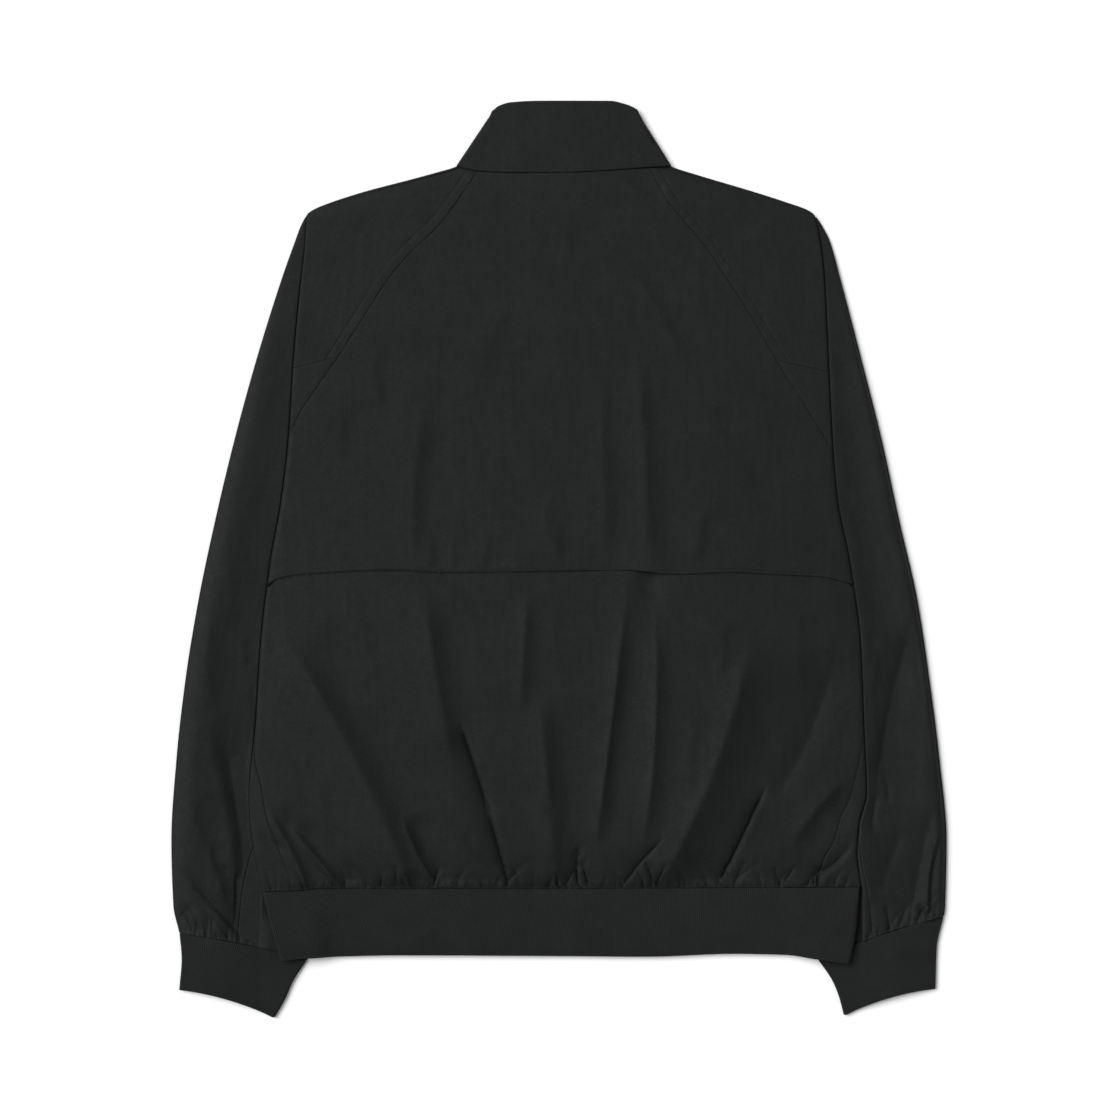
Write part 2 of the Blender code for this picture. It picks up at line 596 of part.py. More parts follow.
def sleeve_front(side, finish):
    """Under piece: it lies on the surface, and wraps the inner edge up to the underarm seam."""
    levels = gusset_levels(side)
    count = SHOULDER_ROWS + len(FOLD_Y) + len(levels)
    seam = FRONT_RAGLAN[side](np.linspace(0, 1, count)) + (SEAM * 1.4, 0)
    flat = np.linspace(0, 1, 4)
    head = []
    for row, inner in enumerate(seam):
        if row < SHOULDER_ROWS:
            outline, normal = shoulder_row(side, row)
            edge = outline_edge(side, row, up=False)
            if row == 0:
                edge[:, 1] -= SEAM * 3
                inner = inner + (SEAM, -SEAM)
        else:
            y = (*FOLD_Y, *levels)[row - SHOULDER_ROWS]
            edge = outer_edge(side, y, up=False)
        rim = np.array([SIGN[side] * edge[0, 0], edge[0, 1]])
        slope = (rim[1] - inner[1]) / max(rim[0] - inner[0], LIFT_RUN)
        level = inner + (LIP, LIP * slope)
        if row == 0:
            level = inner + (rim - inner) * 0.35
        if row == len(seam) - 1:
            level[0] = INNER(side, inner[1]) + TURN
        rise = front_height(side, inner[0], inner[1]) - FLOOR_CLOTH
        lip = []
        for share in (0, 0.5):
            out, y = inner + (level - inner) * share
            if row == len(seam) - 1:
                y += 2 * SEAM * (1 - share)
            lip.append(points(side, out, y, FLOOR_CLOTH + rise * (1 - ease(share))))
        out, y = level[:, None] + (rim - level)[:, None] * flat
        head.append(np.vstack([*lip, points(side, out, y, FLOOR_CLOTH)[:-1], edge]))
    tube = []
    for fraction in TUBE_ROWS:
        y_inner, y_outer = tube_line(side, fraction)
        turn_out = INNER(side, y_inner) + TURN
        y_seam = float(tube_y(side, UNDERARM(side, y_outer), fraction)) if fraction else y_inner
        seam_out = max(UNDERARM(side, y_seam) - SEAM, turn_out + 0.8)
        rise = min(EDGE(side, y_seam) + CLEAR, seam_out - 0.3 * (seam_out - turn_out))
        top = np.concatenate([np.linspace(seam_out, rise, 3)[:-1], np.linspace(rise, turn_out, 4)])
        line = tube_y(side, top, fraction) if fraction else y_inner
        upper = points(side, top, line, sleeve_height(side, top, line))
        y_turn = float(tube_y(side, turn_out, fraction)) if fraction else y_inner
        fold = turn(side, turn_out, y_turn, FLOOR_CLOTH + TURN, TURN, 90, 270, HALF_TURN)
        edge = outer_edge(side, y_outer, up=False)
        rim = SIGN[side] * edge[0, 0]
        out = turn_out + (rim - turn_out) * flat
        line = tube_y(side, out, fraction) if fraction else y_inner
        lower = points(side, out, line, FLOOR_CLOTH)
        tube.append(np.vstack([upper[:-1], fold[:-1], lower[:-1], edge]))
    return cloth(f"sleeve_{side}_front", [head, tube], CLOTH, finish)


# ---------------------------------------------------------------- body

SIDE_LEVELS = (60, 20, -21, -48, -83, -118, -153, -188, -221, -249, -267, -283)
HEM_LEVEL = SIDE_LEVELS[-1]
YOKE_CORNER = 2         # the yoke's hem meets the side seam at this side level


def body_line(x, level):
    """Height of a row across the body, which takes on the line of the hem as it nears it."""
    near_hem = ease((HEM_LEVEL + 43 - level) / 43)
    return level + near_hem * (HEM_SEAM("y", x) + 2 * SEAM - HEM_LEVEL)


def side_seam(side, y):
    """Distance out of the side seam, on the back."""
    return EDGE(side, y) - np.maximum(SIDE_SEAM(side, y), SIDE_SEAM_MIN)


def front(side, finish):
    """A front: from the zip round the side edge, and on to the back as far as the side seam."""
    middle = SIGN[side] * ZIP_X + FRONT_EDGE
    armpit = ARMPIT_Y[side]
    radius = (EDGE_TOP - PLEAT) / 2
    corner_out = INNER(side, armpit) - 10
    inner_columns = np.array([middle, 50, 95, 128, 136, 140, 144, 148, corner_out])
    shares = (inner_columns - middle) / (corner_out - middle)
    chest_rows = 8
    seam = FRONT_RAGLAN[side](np.linspace(1, 0, chest_rows)) - (SEAM * 1.2, 0)
    seam[0] = corner_out, armpit
    upright = np.linspace(0, 1, chest_rows - 3)
    edge = [np.array([middle, armpit + (NECK[side](0.0)[1] - 2 * SEAM - armpit) * t]) for t in upright]
    edge += [NECK[side](t) + (2 * SEAM, -3 * SEAM) for t in np.linspace(0, NECK_SHARE - 0.06, 4)[1:]]
    seam[-1] += (0, -2 * SEAM)
    chest = []
    for inner, outer in zip(edge, seam):
        out, y = inner[:, None] + (outer - inner)[:, None] * shares
        chest.append(points(side, out, y, front_height(side, out, y)))
    lower = []
    for row, level in enumerate((armpit, *SIDE_LEVELS)):
        y_side = float(body_line(SIGN[side] * EDGE(side, level), level))
        lift = INNER(side, y_side) - LIFT_BEFORE
        turn_out = EDGE(side, y_side) - CLOTH / 2 - radius
        blend = min(row, 1)
        inside = inner_columns[:-1] * (1 - blend) + blend * np.array(
            [middle, lift * 0.36, lift * 0.68, lift - 6, lift, lift + 4, lift + 8, lift + LIFT_RUN])
        last = corner_out * (1 - blend) + blend * (lift + LIFT_RUN + 2)
        out = np.concatenate([inside, [last], np.linspace(last, turn_out, 5)[1:]])
        y = body_line(SIGN[side] * out, level)
        z = front_height(side, out, np.minimum(y, armpit))
        flat = points(side, out, y, z)
        fold = turn(side, turn_out, y_side, (EDGE_TOP + PLEAT) / 2, radius, -90, 90, HALF_TURN)
        top_out = np.linspace(turn_out, side_seam(side, level) + SEAM, 5)[1:]
        top_y = body_line(SIGN[side] * top_out, level)
        top = points(side, top_out, top_y, back_height(SIGN[side] * top_out, top_y))
        lower.append(np.vstack([flat[:-1], fold, top]))
    return cloth(f"front_{side}", [chest, lower], CLOTH, finish)


def back_yoke(finish):
    """Full-width yoke: from the collar seam to its free hem, which lies over the panel."""
    rows = []
    columns = np.linspace(0, 1, 27)
    head = np.linspace(0, 1, SHOULDER_ROWS + len(FOLD_Y) + 1)
    tail = np.linspace(0, 1, GUSSET_ROWS + 1)[1:]
    limits = []
    for t in head:
        limits.append([RAGLAN[side](t) - (SEAM * 1.2, 0) for side in (LEFT, RIGHT)])
    for t in tail:
        limits.append([RAGLAN_END[side](t) - (SEAM * 1.2, 0) for side in (LEFT, RIGHT)])
    for level in SIDE_LEVELS[:YOKE_CORNER + 1]:
        limits.append([np.array([side_seam(side, level) - SEAM, level]) for side in (LEFT, RIGHT)])
    last = len(limits) - 1
    for row, (left, right) in enumerate(limits):
        x = (left[0] + right[0]) * columns - left[0]
        neck, hem = NECK_BACK("y", x) - SEAM, YOKE_HEM("y", x)
        y = left[1] + (right[1] - left[1]) * columns
        y += ease(1 - row / 3) * (neck - np.interp(columns, (0, 1), neck[[0, -1]]))
        y += ease(1 - (last - row) / 4) * (hem - np.interp(columns, (0, 1), hem[[0, -1]]))
        rows.append(np.stack([x, y, yoke_height(x, y)], axis=-1))
    return cloth("back_yoke", [rows], CLOTH, finish)


UNDER_YOKE = -9.0       # the panel's last close row, under the yoke
HIDDEN_ROWS = (10, 50, 90, 130, 175, 220, 265, 300, 322)        # the rows above it
HIDDEN_INSET = 3.5      # under the yoke the panel's edge is this far in from the side seams
RAGLAN_INSET = 5.0      # and this far in from the raglan seams
GATHERED = 23.0         # the panel's columns follow the gathers this far up from the hem


def back_panel(finish):
    """Full back: gathered into the hem rib, and running up under the yoke to the collar."""
    left_end, right_end = -side_seam(LEFT, HEM_LEVEL) + SEAM, side_seam(RIGHT, HEM_LEVEL) - SEAM
    gathers = np.array([g for g in HEM_GATHERS if left_end + 3 < g < right_end - 3], float)
    knots = np.concatenate([[left_end], gathers, [right_end]])
    gathered = np.sort(np.concatenate([knots, (knots[:-1] + knots[1:]) / 2]))
    gathered = (gathered - left_end) / (right_end - left_end)
    even = np.linspace(0, 1, len(gathered))
    rows = []
    for level in (HEM_LEVEL, HEM_LEVEL + 7, *SIDE_LEVELS[-2:YOKE_CORNER - 1:-1], UNDER_YOKE):
        left, right = -side_seam(LEFT, level) + SEAM, side_seam(RIGHT, level) - SEAM
        inset = HIDDEN_INSET * (level == UNDER_YOKE)
        shares = gathered + (even - gathered) * ease((level - HEM_LEVEL - GATHERED) / 60)
        x = left + inset + (right - left - 2 * inset) * shares
        near_yoke = ease((level + 83) / 60)
        line = body_line(x, level) + near_yoke * (YOKE_HEM("y", x) - YOKE_HEM("y", 0)) * 0.6
        rows.append(np.stack([x, line, panel_height(x, line)], axis=-1))
    for y in HIDDEN_ROWS:
        sides = []
        for side in (LEFT, RIGHT):
            if y < ARMPIT_Y[side]:
                sides.append(side_seam(side, y) - HIDDEN_INSET)
            else:
                raglan = np.vstack([RAGLAN[side](np.linspace(0, 1, 40)),
                                    RAGLAN_END[side](np.linspace(0, 1, 20))])
                sides.append(np.interp(y, raglan[::-1, 1], raglan[::-1, 0]) - RAGLAN_INSET)
        x = np.linspace(-sides[0], sides[1], 15)
        line = np.full(x.shape, y)
        rows.append(np.stack([x, line, panel_height(x, line)], axis=-1))
    return cloth("back_panel", [rows], CLOTH, finish)


# ---------------------------------------------------------------- collar, rib and cuffs

def collar(finish):
    """Stand collar: one band from zip to zip, its back half on top and its front halves under it."""
    radius = (HEM_TOP - FLOOR_KNIT) / 2
    rows = []
    for v in np.linspace(0, 1, 4):
        halves = {}
        for side in (LEFT, RIGHT):
            base, top = np.array(COLLAR_BASE[side]), np.array(COLLAR_TOP[side])
            fold = base + (top - base) * v
            fold_x = fold[0] - KNIT / 2 - radius
            t = np.linspace(0, 1, 8)
            neck = NECK[side](t) + np.stack([-0.2 * t, 3 * SEAM + 0 * t], axis=-1)
            middle = SIGN[side] * ZIP_X
            ends = (np.array([middle + FRONT_EDGE, NECK[side](0.0)[1] + 3 * SEAM]),
                    np.array([middle + COLLAR_FRONT_SPREAD, COLLAR_FRONT_TOP_Y]))
            top_line = ends[1] + (np.array([top[0] - KNIT / 2 - radius, top[1]]) - ends[1]) * t[:, None]
            neck[-1] = base[0] - KNIT / 2 - radius, base[1]
            neck[0] = ends[0]
            plan = neck + (top_line - neck) * v
            under = points(side, plan[:, 0], plan[:, 1], FLOOR_KNIT)
            round_fold = turn(side, fold_x, fold[1], FLOOR_KNIT + radius, radius, -90, 90, HALF_TURN)
            halves[side] = np.vstack([under[:-1], round_fold]), fold_x
        left, right = -halves[LEFT][1], halves[RIGHT][1]
        x = np.linspace(left, right, 17)[1:-1]
        base_y = NECK_BACK("y", x) + SEAM
        top_y = COLLAR_EDGE("y", x * (COLLAR_TOP[LEFT][0] / COLLAR_BASE[LEFT][0]) ** (1 - v))
        y = base_y + (top_y - base_y) * v
        swell = 0.8 * np.sin(np.pi * (x - left) / (right - left))
        top = np.stack([x, y, HEM_TOP + swell + 0 * x], axis=-1)
        rows.append(np.vstack([halves[LEFT][0], top, halves[RIGHT][0][::-1]]))
    return cloth("collar", [rows], KNIT, finish)


def hem_rib(finish):
    """Rib band at the hem: one band from zip to zip, folded flat at the sides."""
    radius = (HEM_TOP - FLOOR_KNIT) / 2
    rows = []
    for v in np.linspace(0, 1, 4):
        halves = {}
        for side in (LEFT, RIGHT):
            fold = HEM_SIDE[side](v)
            centre = fold[0] - KNIT / 2 - radius
            middle = SIGN[side] * ZIP_X + FRONT_EDGE
            out = np.concatenate([np.linspace(middle, 180, 4), np.linspace(184, centre, 7)])
            x = SIGN[side] * out
            y = HEM_SEAM("y", x) - SEAM + (HEM_EDGE("y", x) - HEM_SEAM("y", x) + SEAM) * v
            under = points(side, out, y, FLOOR_KNIT + corner_lift(side, out, y))
            lift = float(corner_lift(side, centre, fold[1]))
            round_fold = turn(side, centre, y[-1], FLOOR_KNIT + radius + lift, radius, -90, 90, HALF_TURN)
            halves[side] = np.vstack([under[:-1], round_fold]), centre
        x = np.linspace(-halves[LEFT][1], halves[RIGHT][1], 25)[1:-1]
        y = HEM_SEAM("y", x) - SEAM + (HEM_EDGE("y", x) - HEM_SEAM("y", x) + SEAM) * v
        lift = np.where(x < 0, corner_lift(LEFT, -x, y), corner_lift(RIGHT, x, y))
        puff = 0.5 * np.sin(np.pi * v)
        top = np.stack([x, y, HEM_TOP + lift + puff], axis=-1)
        rows.append(np.vstack([halves[LEFT][0], top, halves[RIGHT][0][::-1]]))
    return cloth("hem_rib", [rows], KNIT, finish)


def corner_lift(side, out, y):
    """Lift of the hem rib where the sleeve, and lower down the cuff, lies under its corner."""
    over_sleeve = ease((out - (INNER(side, y) - 26)) / 22)
    return over_sleeve * (OVER_SLEEVE + OVER_CUFF * ease((-292 - y) / 34))


def cuff(side, finish):
    """Rib cuff: a flattened ring, its inner part under the corner of the hem rib."""
    rows = []
    for v in np.linspace(0, 1, 5):
        inner, outer = CUFF_INNER[side](v), CUFF_OUTER[side](v)
        if v == 0:
            inner, outer = inner - (0, 3 * SEAM), outer - (0, SEAM)
        bow = CUFF_BOW[0] + (CUFF_BOW[1] - CUFF_BOW[0]) * v
        flat_r = (CUFF_UPPER - FLOOR_KNIT) / 2
        left, right = inner[0] + KNIT / 2 + flat_r, outer[0] - KNIT / 2 - flat_r
        share = np.linspace(0, 1, 15)

        def plan(part):
            across = left + (right - left) * part
            along = (across - inner[0]) / (outer[0] - inner[0])
            return across, inner[1] + (outer[1] - inner[1]) * along + bow * 4 * along * (1 - along)

        out, y = plan(share)
        arch = 4.5 * np.sin(np.pi * np.clip((out - 256) / (right - 256), 0, 1)) * (1 - 0.35 * v)
        top = points(side, out, y, CUFF_UPPER + arch)
        middle_z = FLOOR_KNIT + flat_r
        outer_fold = turn(side, right, y[-1], middle_z, flat_r, 90, -90, HALF_TURN)
        out, y = plan(share[::-2])
        bottom = points(side, out, y, FLOOR_KNIT)
        inner_fold = turn(side, left, y[-1], middle_z, flat_r, 270, 90, HALF_TURN)
        rows.append(np.vstack([top[:-1], outer_fold[:-1], bottom[:-1], inner_fold[:-1]]))
    return cloth(f"cuff_{side}", [rows], KNIT, finish, ring=True)


# ---------------------------------------------------------------- zip

ZIP_BOTTOM, ZIP_TOP = -338.5, 318.0
TAPE_HALF, TAPE_LOW, TAPE_HIGH = 14.0, 1.35, 2.1
CHAIN_HALF, CHAIN_LOW, CHAIN_HIGH = 2.9, 0.3, 2.6
KNIT_EXTRA = KNIT - CLOTH       # the tape lies this much higher over rib and collar
SLIDER_LENGTH, SLIDER_HALF, SLIDER_TALL = 11.5, 4.3, 3.4


def zip_band(finish):
    """Closed zip: a chain between the fronts, and tapes that lie on their inner faces."""
    levels = ((ZIP_BOTTOM, KNIT_EXTRA), (-286, KNIT_EXTRA), (-276, 0),
              (258, 0), (268, KNIT_EXTRA), (ZIP_TOP, KNIT_EXTRA))
    mesh = bmesh.new()
    loops = []
    for y, extra in levels:
        tape_low, tape_high, chain_high = TAPE_LOW + extra, TAPE_HIGH + extra, CHAIN_HIGH + extra
        outline = [(CHAIN_HALF, CHAIN_LOW), (CHAIN_HALF, tape_low), (TAPE_HALF, tape_low),
                   (TAPE_HALF, tape_high), (CHAIN_HALF, tape_high), (CHAIN_HALF, chain_high)]
        outline += [(-x, z) for x, z in outline[::-1]]
        loops.append([mesh.verts.new(((ZIP_X + x) * MM, y * MM, z * MM)) for x, z in outline])
    for first, second in zip(loops[:-1], loops[1:]):
        for i in range(len(first)):
            j = (i + 1) % len(first)
            mesh.faces.new((first[i], first[j], second[j], second[i]))
    mesh.faces.new(loops[0])
    mesh.faces.new(loops[-1])
    return solid("zip", mesh, finish)


def zip_slider(finish):
    """Slider above the chain's end: a body that narrows towards the chain, with rounded edges."""
    mesh = bmesh.new()
    start = ZIP_TOP + 0.4
    outline = ((-0.62, 0), (0.62, 0), (1, 0.42), (1, 0.86), (0.7, 1), (-0.7, 1), (-1, 0.86), (-1, 0.42))
    base = [mesh.verts.new(((ZIP_X + x * SLIDER_HALF) * MM, (start + y * SLIDER_LENGTH) * MM, 0.0))
            for x, y in outline]
    bottom = mesh.faces.new(base)
    lifted = bmesh.ops.extrude_face_region(mesh, geom=[bottom])["geom"]
    top = [item for item in lifted if isinstance(item, bmesh.types.BMVert)]
    bmesh.ops.translate(mesh, verts=top, vec=(0, 0, SLIDER_TALL * MM))
    bmesh.ops.bevel(mesh, geom=list(mesh.edges), offset=0.5 * MM, segments=2, affect="EDGES")
    return solid("zip_slider", mesh, finish)


def solid(name, mesh, finish):
    """An object from a closed bmesh."""
    bmesh.ops.recalc_face_normals(mesh, faces=mesh.faces)
    data = bpy.data.meshes.new(name)
    mesh.to_mesh(data)
    mesh.free()
    data.materials.append(finish)
    piece = bpy.data.objects.new(name, data)
    bpy.context.collection.objects.link(piece)
    return piece


def jacket():
    """All the pieces."""
    shell = material("black cotton shell", (0.019, 0.022, 0.021), 0.85)
    knit = material("black rib knit", (0.016, 0.018, 0.017), 0.92)
    tape = material("black zip tape", (0.015, 0.015, 0.016), 0.8)
    metal = material("dark zip metal", (0.12, 0.12, 0.125), 0.35, 1.0)
    back_panel(shell)
    back_yoke(shell)
    for side in (LEFT, RIGHT):
        front(side, shell)
        sleeve_back(side, shell)
        sleeve_front(side, shell)
        gusset(side, shell)
        cuff(side, knit)
    collar(shell)
    hem_rib(knit)
    zip_band(tape)
    zip_slider(metal)


for old in list(bpy.data.objects):
    bpy.data.objects.remove(old)
jacket()
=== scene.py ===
"""Looks of a black harrington jacket that lies flat on its front, with its back upward.

Lengths are in millimetres until a mesh is made. X runs across the jacket, Y up it towards the
collar, and Z out of its back. "Out" is a distance from the middle line towards either side.
"""

from collections import namedtuple

import bmesh
import bpy
import numpy as np
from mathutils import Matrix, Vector


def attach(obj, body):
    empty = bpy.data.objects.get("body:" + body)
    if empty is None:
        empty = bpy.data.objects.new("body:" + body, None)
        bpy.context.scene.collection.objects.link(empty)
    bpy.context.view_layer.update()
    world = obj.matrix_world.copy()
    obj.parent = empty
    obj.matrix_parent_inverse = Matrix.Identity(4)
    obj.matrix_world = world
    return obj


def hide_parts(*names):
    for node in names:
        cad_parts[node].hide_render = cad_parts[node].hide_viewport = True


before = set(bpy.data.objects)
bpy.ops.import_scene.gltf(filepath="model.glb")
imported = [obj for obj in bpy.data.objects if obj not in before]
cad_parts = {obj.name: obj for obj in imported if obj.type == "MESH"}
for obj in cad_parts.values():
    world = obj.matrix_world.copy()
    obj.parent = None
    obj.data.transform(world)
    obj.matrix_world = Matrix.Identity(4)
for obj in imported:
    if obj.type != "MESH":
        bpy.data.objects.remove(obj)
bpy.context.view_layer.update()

MM = 0.001
LEFT, RIGHT = "left", "right"
SIGN = {LEFT: -1.0, RIGHT: 1.0}

# Walls of the shells, and the solids' values that place their middle surfaces
CLOTH, KNIT = 0.7, 1.6
EDGE_HALF, KNIT_HALF = 0.5, 1.0         # half the walls of the solids
GAP = 0.1               # half the gap between two pieces at a seam
CLEAR = 1.0             # the sleeve starts to rise this far inside the body's edge
LIP_WIDE = 2.2          # width of its steep rise
LIP_TOP = {LEFT: 4.6, RIGHT: 6.6}       # height that it reaches beside the body's edge
ZIP_X, FRONT_EDGE = 4.0, 3.3             # the zip's middle, and each front's edge out from it
FLOOR_CLOTH, FLOOR_KNIT = 0.5, 1.0      # middle of a layer that lies on the surface
SLEEVE_UPPER = 1.8      # upper layer of a sleeve where the body lies on it
OVER_SLEEVE = 2.6       # lift of the body's lower layer where a sleeve lies under it
OVER_CUFF = 2.4         # further lift where the cuff lies under the hem's corner
PLEAT = FLOOR_CLOTH + OVER_SLEEVE
EDGE_TOP = 6.1          # upper layer at the body's edge
EDGE_EXTRA = 1.1        # its further rise between the ends
SEAM_DIP, SEAM_REACH = 0.35, 0.8        # how far cloth rolls down at a seam, and over what width
SEED = {LEFT: 7, RIGHT: 8}              # of each sleeve's unevenness
TUCK_SEED, HEM_SEED = {LEFT: 13, RIGHT: 14}, 11
RIM_POWER = {LEFT: 8, RIGHT: 22}        # how late each sleeve's arch falls to its outer edge
TURN = (PLEAT - SLEEVE_UPPER) / 2       # radius of the flat, hidden folds
CUFF_UPPER = 3.3        # upper layer of a cuff where the hem lies on it
HEM_TOP = 5.0           # upper layer of the hem rib and of the collar
YOKE_STEP = 1.3         # the yoke's height over the panel at its hem
HIDDEN_DROP = 1.4       # how much lower the panel lies under the yoke
OUTER_ROUND = 1.5       # radius of a sleeve's outer edge
EDGE_INSET = EDGE_HALF + OUTER_ROUND


# ---------------------------------------------------------------- curves and tables

def smooth(knots, values, at):
    """Monotone cubic through (knots, values), held level past both ends."""
    order = np.argsort(knots)
    knots, values = np.asarray(knots, float)[order], np.asarray(values, float)[order]
    step = np.diff(knots)
    slope = np.diff(values) / step
    tangent = np.zeros_like(values)
    rising = slope[:-1] * slope[1:] > 0
    total = np.where(rising, slope[:-1] + slope[1:], 1.0)
    tangent[1:-1] = np.where(rising, 2 * slope[:-1] * slope[1:] / total, 0.0)
    tangent[0], tangent[-1] = slope[0], slope[-1]
    at = np.clip(at, knots[0], knots[-1])
    i = np.clip(np.searchsorted(knots, at, side="right") - 1, 0, len(step) - 1)
    t = (at - knots[i]) / step[i]
    lower = (1 + 2 * t) * (1 - t) ** 2 * values[i] + t * (1 - t) ** 2 * step[i] * tangent[i]
    upper = t * t * (3 - 2 * t) * values[i + 1] - t * t * (1 - t) * step[i] * tangent[i + 1]
    return lower + upper


def ease(t):
    """Smooth step from 0 to 1."""
    t = np.clip(t, 0.0, 1.0)
    return t * t * (3 - 2 * t)


class Table:
    """A short table with named columns, read smoothly by its first column."""

    def __init__(self, **columns):
        self.key = next(iter(columns))
        self.columns = columns

    def __call__(self, column, at):
        return smooth(self.columns[self.key], self.columns[column], at)


class Path:
    """A smooth line through (out, y) points, read by the fraction of its length."""

    def __init__(self, *points):
        self.points = np.array(points, float)
        steps = np.hypot(*np.diff(self.points, axis=0).T)
        self.mile = np.concatenate([[0.0], np.cumsum(steps)]) / steps.sum()

    def __call__(self, t):
        return np.stack([smooth(self.mile, self.points[:, axis], t) for axis in (0, 1)], axis=-1)

    def normal(self, t):
        """Unit vectors to the left of the line's direction."""
        t = np.asarray(t)
        along = self(np.minimum(t + 0.01, 1.0)) - self(np.maximum(t - 0.01, 0.0))
        left = np.stack([-along[..., 1], along[..., 0]], axis=-1)
        return left / np.linalg.norm(along, axis=-1)[..., None]


# Edge where the back folds under: the sleeve head's fold, then the body's side
EDGE = Table(
    y=(297, 285, 267, 237, 178, 103, 50, 0, -70, -145, -200, -225, -250, -284),
    left=(216.5, 217.4, 218.7, 222, 227.6, 232.5, 238.7, 247.6, 256.1, 261, 266.2, 265.6, 262,
          254.7),
    right=(218.5, 222, 225.5, 228.5, 231.3, 235, 239.7, 249.6, 259, 262.1, 264.2, 258.3, 256,
           260.3))

# Outer edge of the sleeve, from the shoulder point to the cuff
OUTER = Table(
    y=(297, 286, 275, 241, 172, 103, 34, -35, -103, -172, -241, -297, -320),
    left=(217.5, 223, 227, 239, 260.6, 279.5, 296, 310.5, 321.6, 329.4, 333.7, 332, 327),
    right=(220.5, 227.5, 233, 242.5, 260.6, 278, 293, 308.7, 319, 327.7, 333.7, 332.5, 329))

# Inner edge of the sleeve, hidden under the body, and its underarm seam
INNER = Table(
    y=(296, 200, 100, 0, -100, -250, -343),
    left=(213, 187, 160, 165, 180, 205, 217),
    right=(214, 188, 160, 165, 180, 207, 222))
UNDERARM = Table(
    y=(100, 0, -100, -200, -248, -266, -290, -345),
    left=(162, 177, 210, 246, 263, 268.5, 273, 278),
    right=(162, 177, 208, 240, 257.5, 260.5, 265.7, 271))

# How far the side seam has rolled on to the back from the body's outermost line
SIDE_ROLL = Table(
    y=(-130, -150, -170, -195, -220, -240, -259, -283),
    left=(0, 1, 3.5, 11.4, 15.4, 20.9, 24.4, 27.9),
    right=(0, 1, 5.4, 12.4, 17.4, 20.4, 30.4, 38.4))

SHOULDER = {
    LEFT: Path((88.6, 338), (127, 327.5), (167, 317), (198, 307), (211, 301.6), (216.5, 298)),
    RIGHT: Path((97, 338), (131.6, 327.5), (167, 317), (198, 307), (213, 301.6), (218.5, 298.3))}

# Back raglan seam, above and below the point where the gusset meets it
RAGLAN = {
    LEFT: Path((70, 334), (85, 311), (104, 286), (125, 266), (147, 240), (162, 217),
               (189, 174.4)),
    RIGHT: Path((78, 337), (91.5, 311), (111.5, 286), (128, 266), (145, 240), (160, 217),
                (187, 171))}
RAGLAN_END = {
    LEFT: Path((189, 174.4), (202, 156), (213, 140), (223, 125), (228.8, 112), (232.6, 103)),
    RIGHT: Path((187, 171), (196, 156), (206.6, 140), (215.6, 125), (224.5, 111), (236.0, 92))}
GUSSET_SEAM_Y = {LEFT: 165.0, RIGHT: 162.0}      # where the gusset's seam meets the fold
ARMPIT_Y = {LEFT: 103.0, RIGHT: 92.0}

# Front neck and front raglan seam, both hidden
NECK = {LEFT: Path((-0.7, 268), (20, 270.5), (40, 281), (58, 298), (74, 317), (88.6, 337.4)),
        RIGHT: Path((7.3, 268), (28, 270.5), (48, 281), (66, 298), (82, 317), (97, 337.4))}
NECK_SHARE = 0.80       # the front raglan seam leaves the neck at this fraction of it
FRONT_RAGLAN = {LEFT: Path((74, 317), (100, 285), (128, 240), (144, 190), (150, 140), (150, 103)),
                RIGHT: Path((82, 317), (104, 285), (128, 240), (144, 190), (150, 140), (150, 92))}

# Lines across the back
NECK_BACK = Table(
    x=(-88.6, -70, -41, 0.5, 36, 64, 78, 97),
    y=(338, 334, 332.5, 332.4, 334, 336, 337.2, 338))
YOKE_HEM = Table(
    x=(-250, -243, -218, -137, -102, -31, 57, 101.5, 148, 187, 226, 253),
    y=(-23.4, -18.8, -14.3, -10.4, -12.3, -11.4, -9.7, -12.9, -11, -12.9, -14.8, -21))
HEM_SEAM = Table(x=(-255, -227, -200, 0, 200, 259), y=(-285, -284.5, -282.4, -282.6, -281.6, -281))
HEM_EDGE = Table(
    x=(-239, -217, -137, 9, 74, 150, 195, 221, 249),
    y=(-344, -342, -339.8, -340.5, -341, -338.5, -339.4, -342.6, -346.5))
HEM_SIDE = {LEFT: Path((254.7, -285.3), (247, -314), (239, -344)),
            RIGHT: Path((258.6, -281.3), (254.5, -322), (249.4, -346.5))}

# Collar: outer ends of its seam and of its top edge, and the top edge between them
COLLAR_BASE = {LEFT: (88.6, 338.15), RIGHT: (97.0, 338.15)}
COLLAR_TOP = {LEFT: (60.6, 380), RIGHT: (70.4, 380.5)}
COLLAR_EDGE = Table(x=(-60.6, -57.6, -51.6, -41, -18, 44, 57.8, 65.5, 70.4),
                    y=(380, 384.6, 390, 393, 394.2, 394.2, 391.2, 387.7, 380.5))
COLLAR_FRONT_TOP_Y = 330.0
COLLAR_FRONT_SPREAD = 5.2       # from the zip's middle to the collar's end at its top

CUFF_OUTER = {LEFT: Path((326.6, -320.6), (324.7, -343), (326.8, -370)),
              RIGHT: Path((331, -306), (325, -334), (324, -369))}
CUFF_INNER = {LEFT: Path((217, -345), (229, -364), (235, -378), (244.3, -394.4)),
              RIGHT: Path((222, -343.5), (235.6, -364), (241.7, -380), (244.7, -392.4))}
CUFF_BOW = (2.5, 4.5)           # how far the cuff's seam and its edge bow upward

# ---------------------------------------------------------------- loft and folds

# Height of the back's middle along the jacket, and of a sleeve's arch
LOFT = Table(y=(334, 300, 250, 150, 50, -10, -100, -215, -245, -265, -276, -283),
             height=(5.0, 6.4, 7.4, 8.8, 10.8, 12.3, 13.8, 13.9, 13.1, 10.8, 8.3, 4.8))
PILLOW = 72.0           # how soon the back rises from its edges
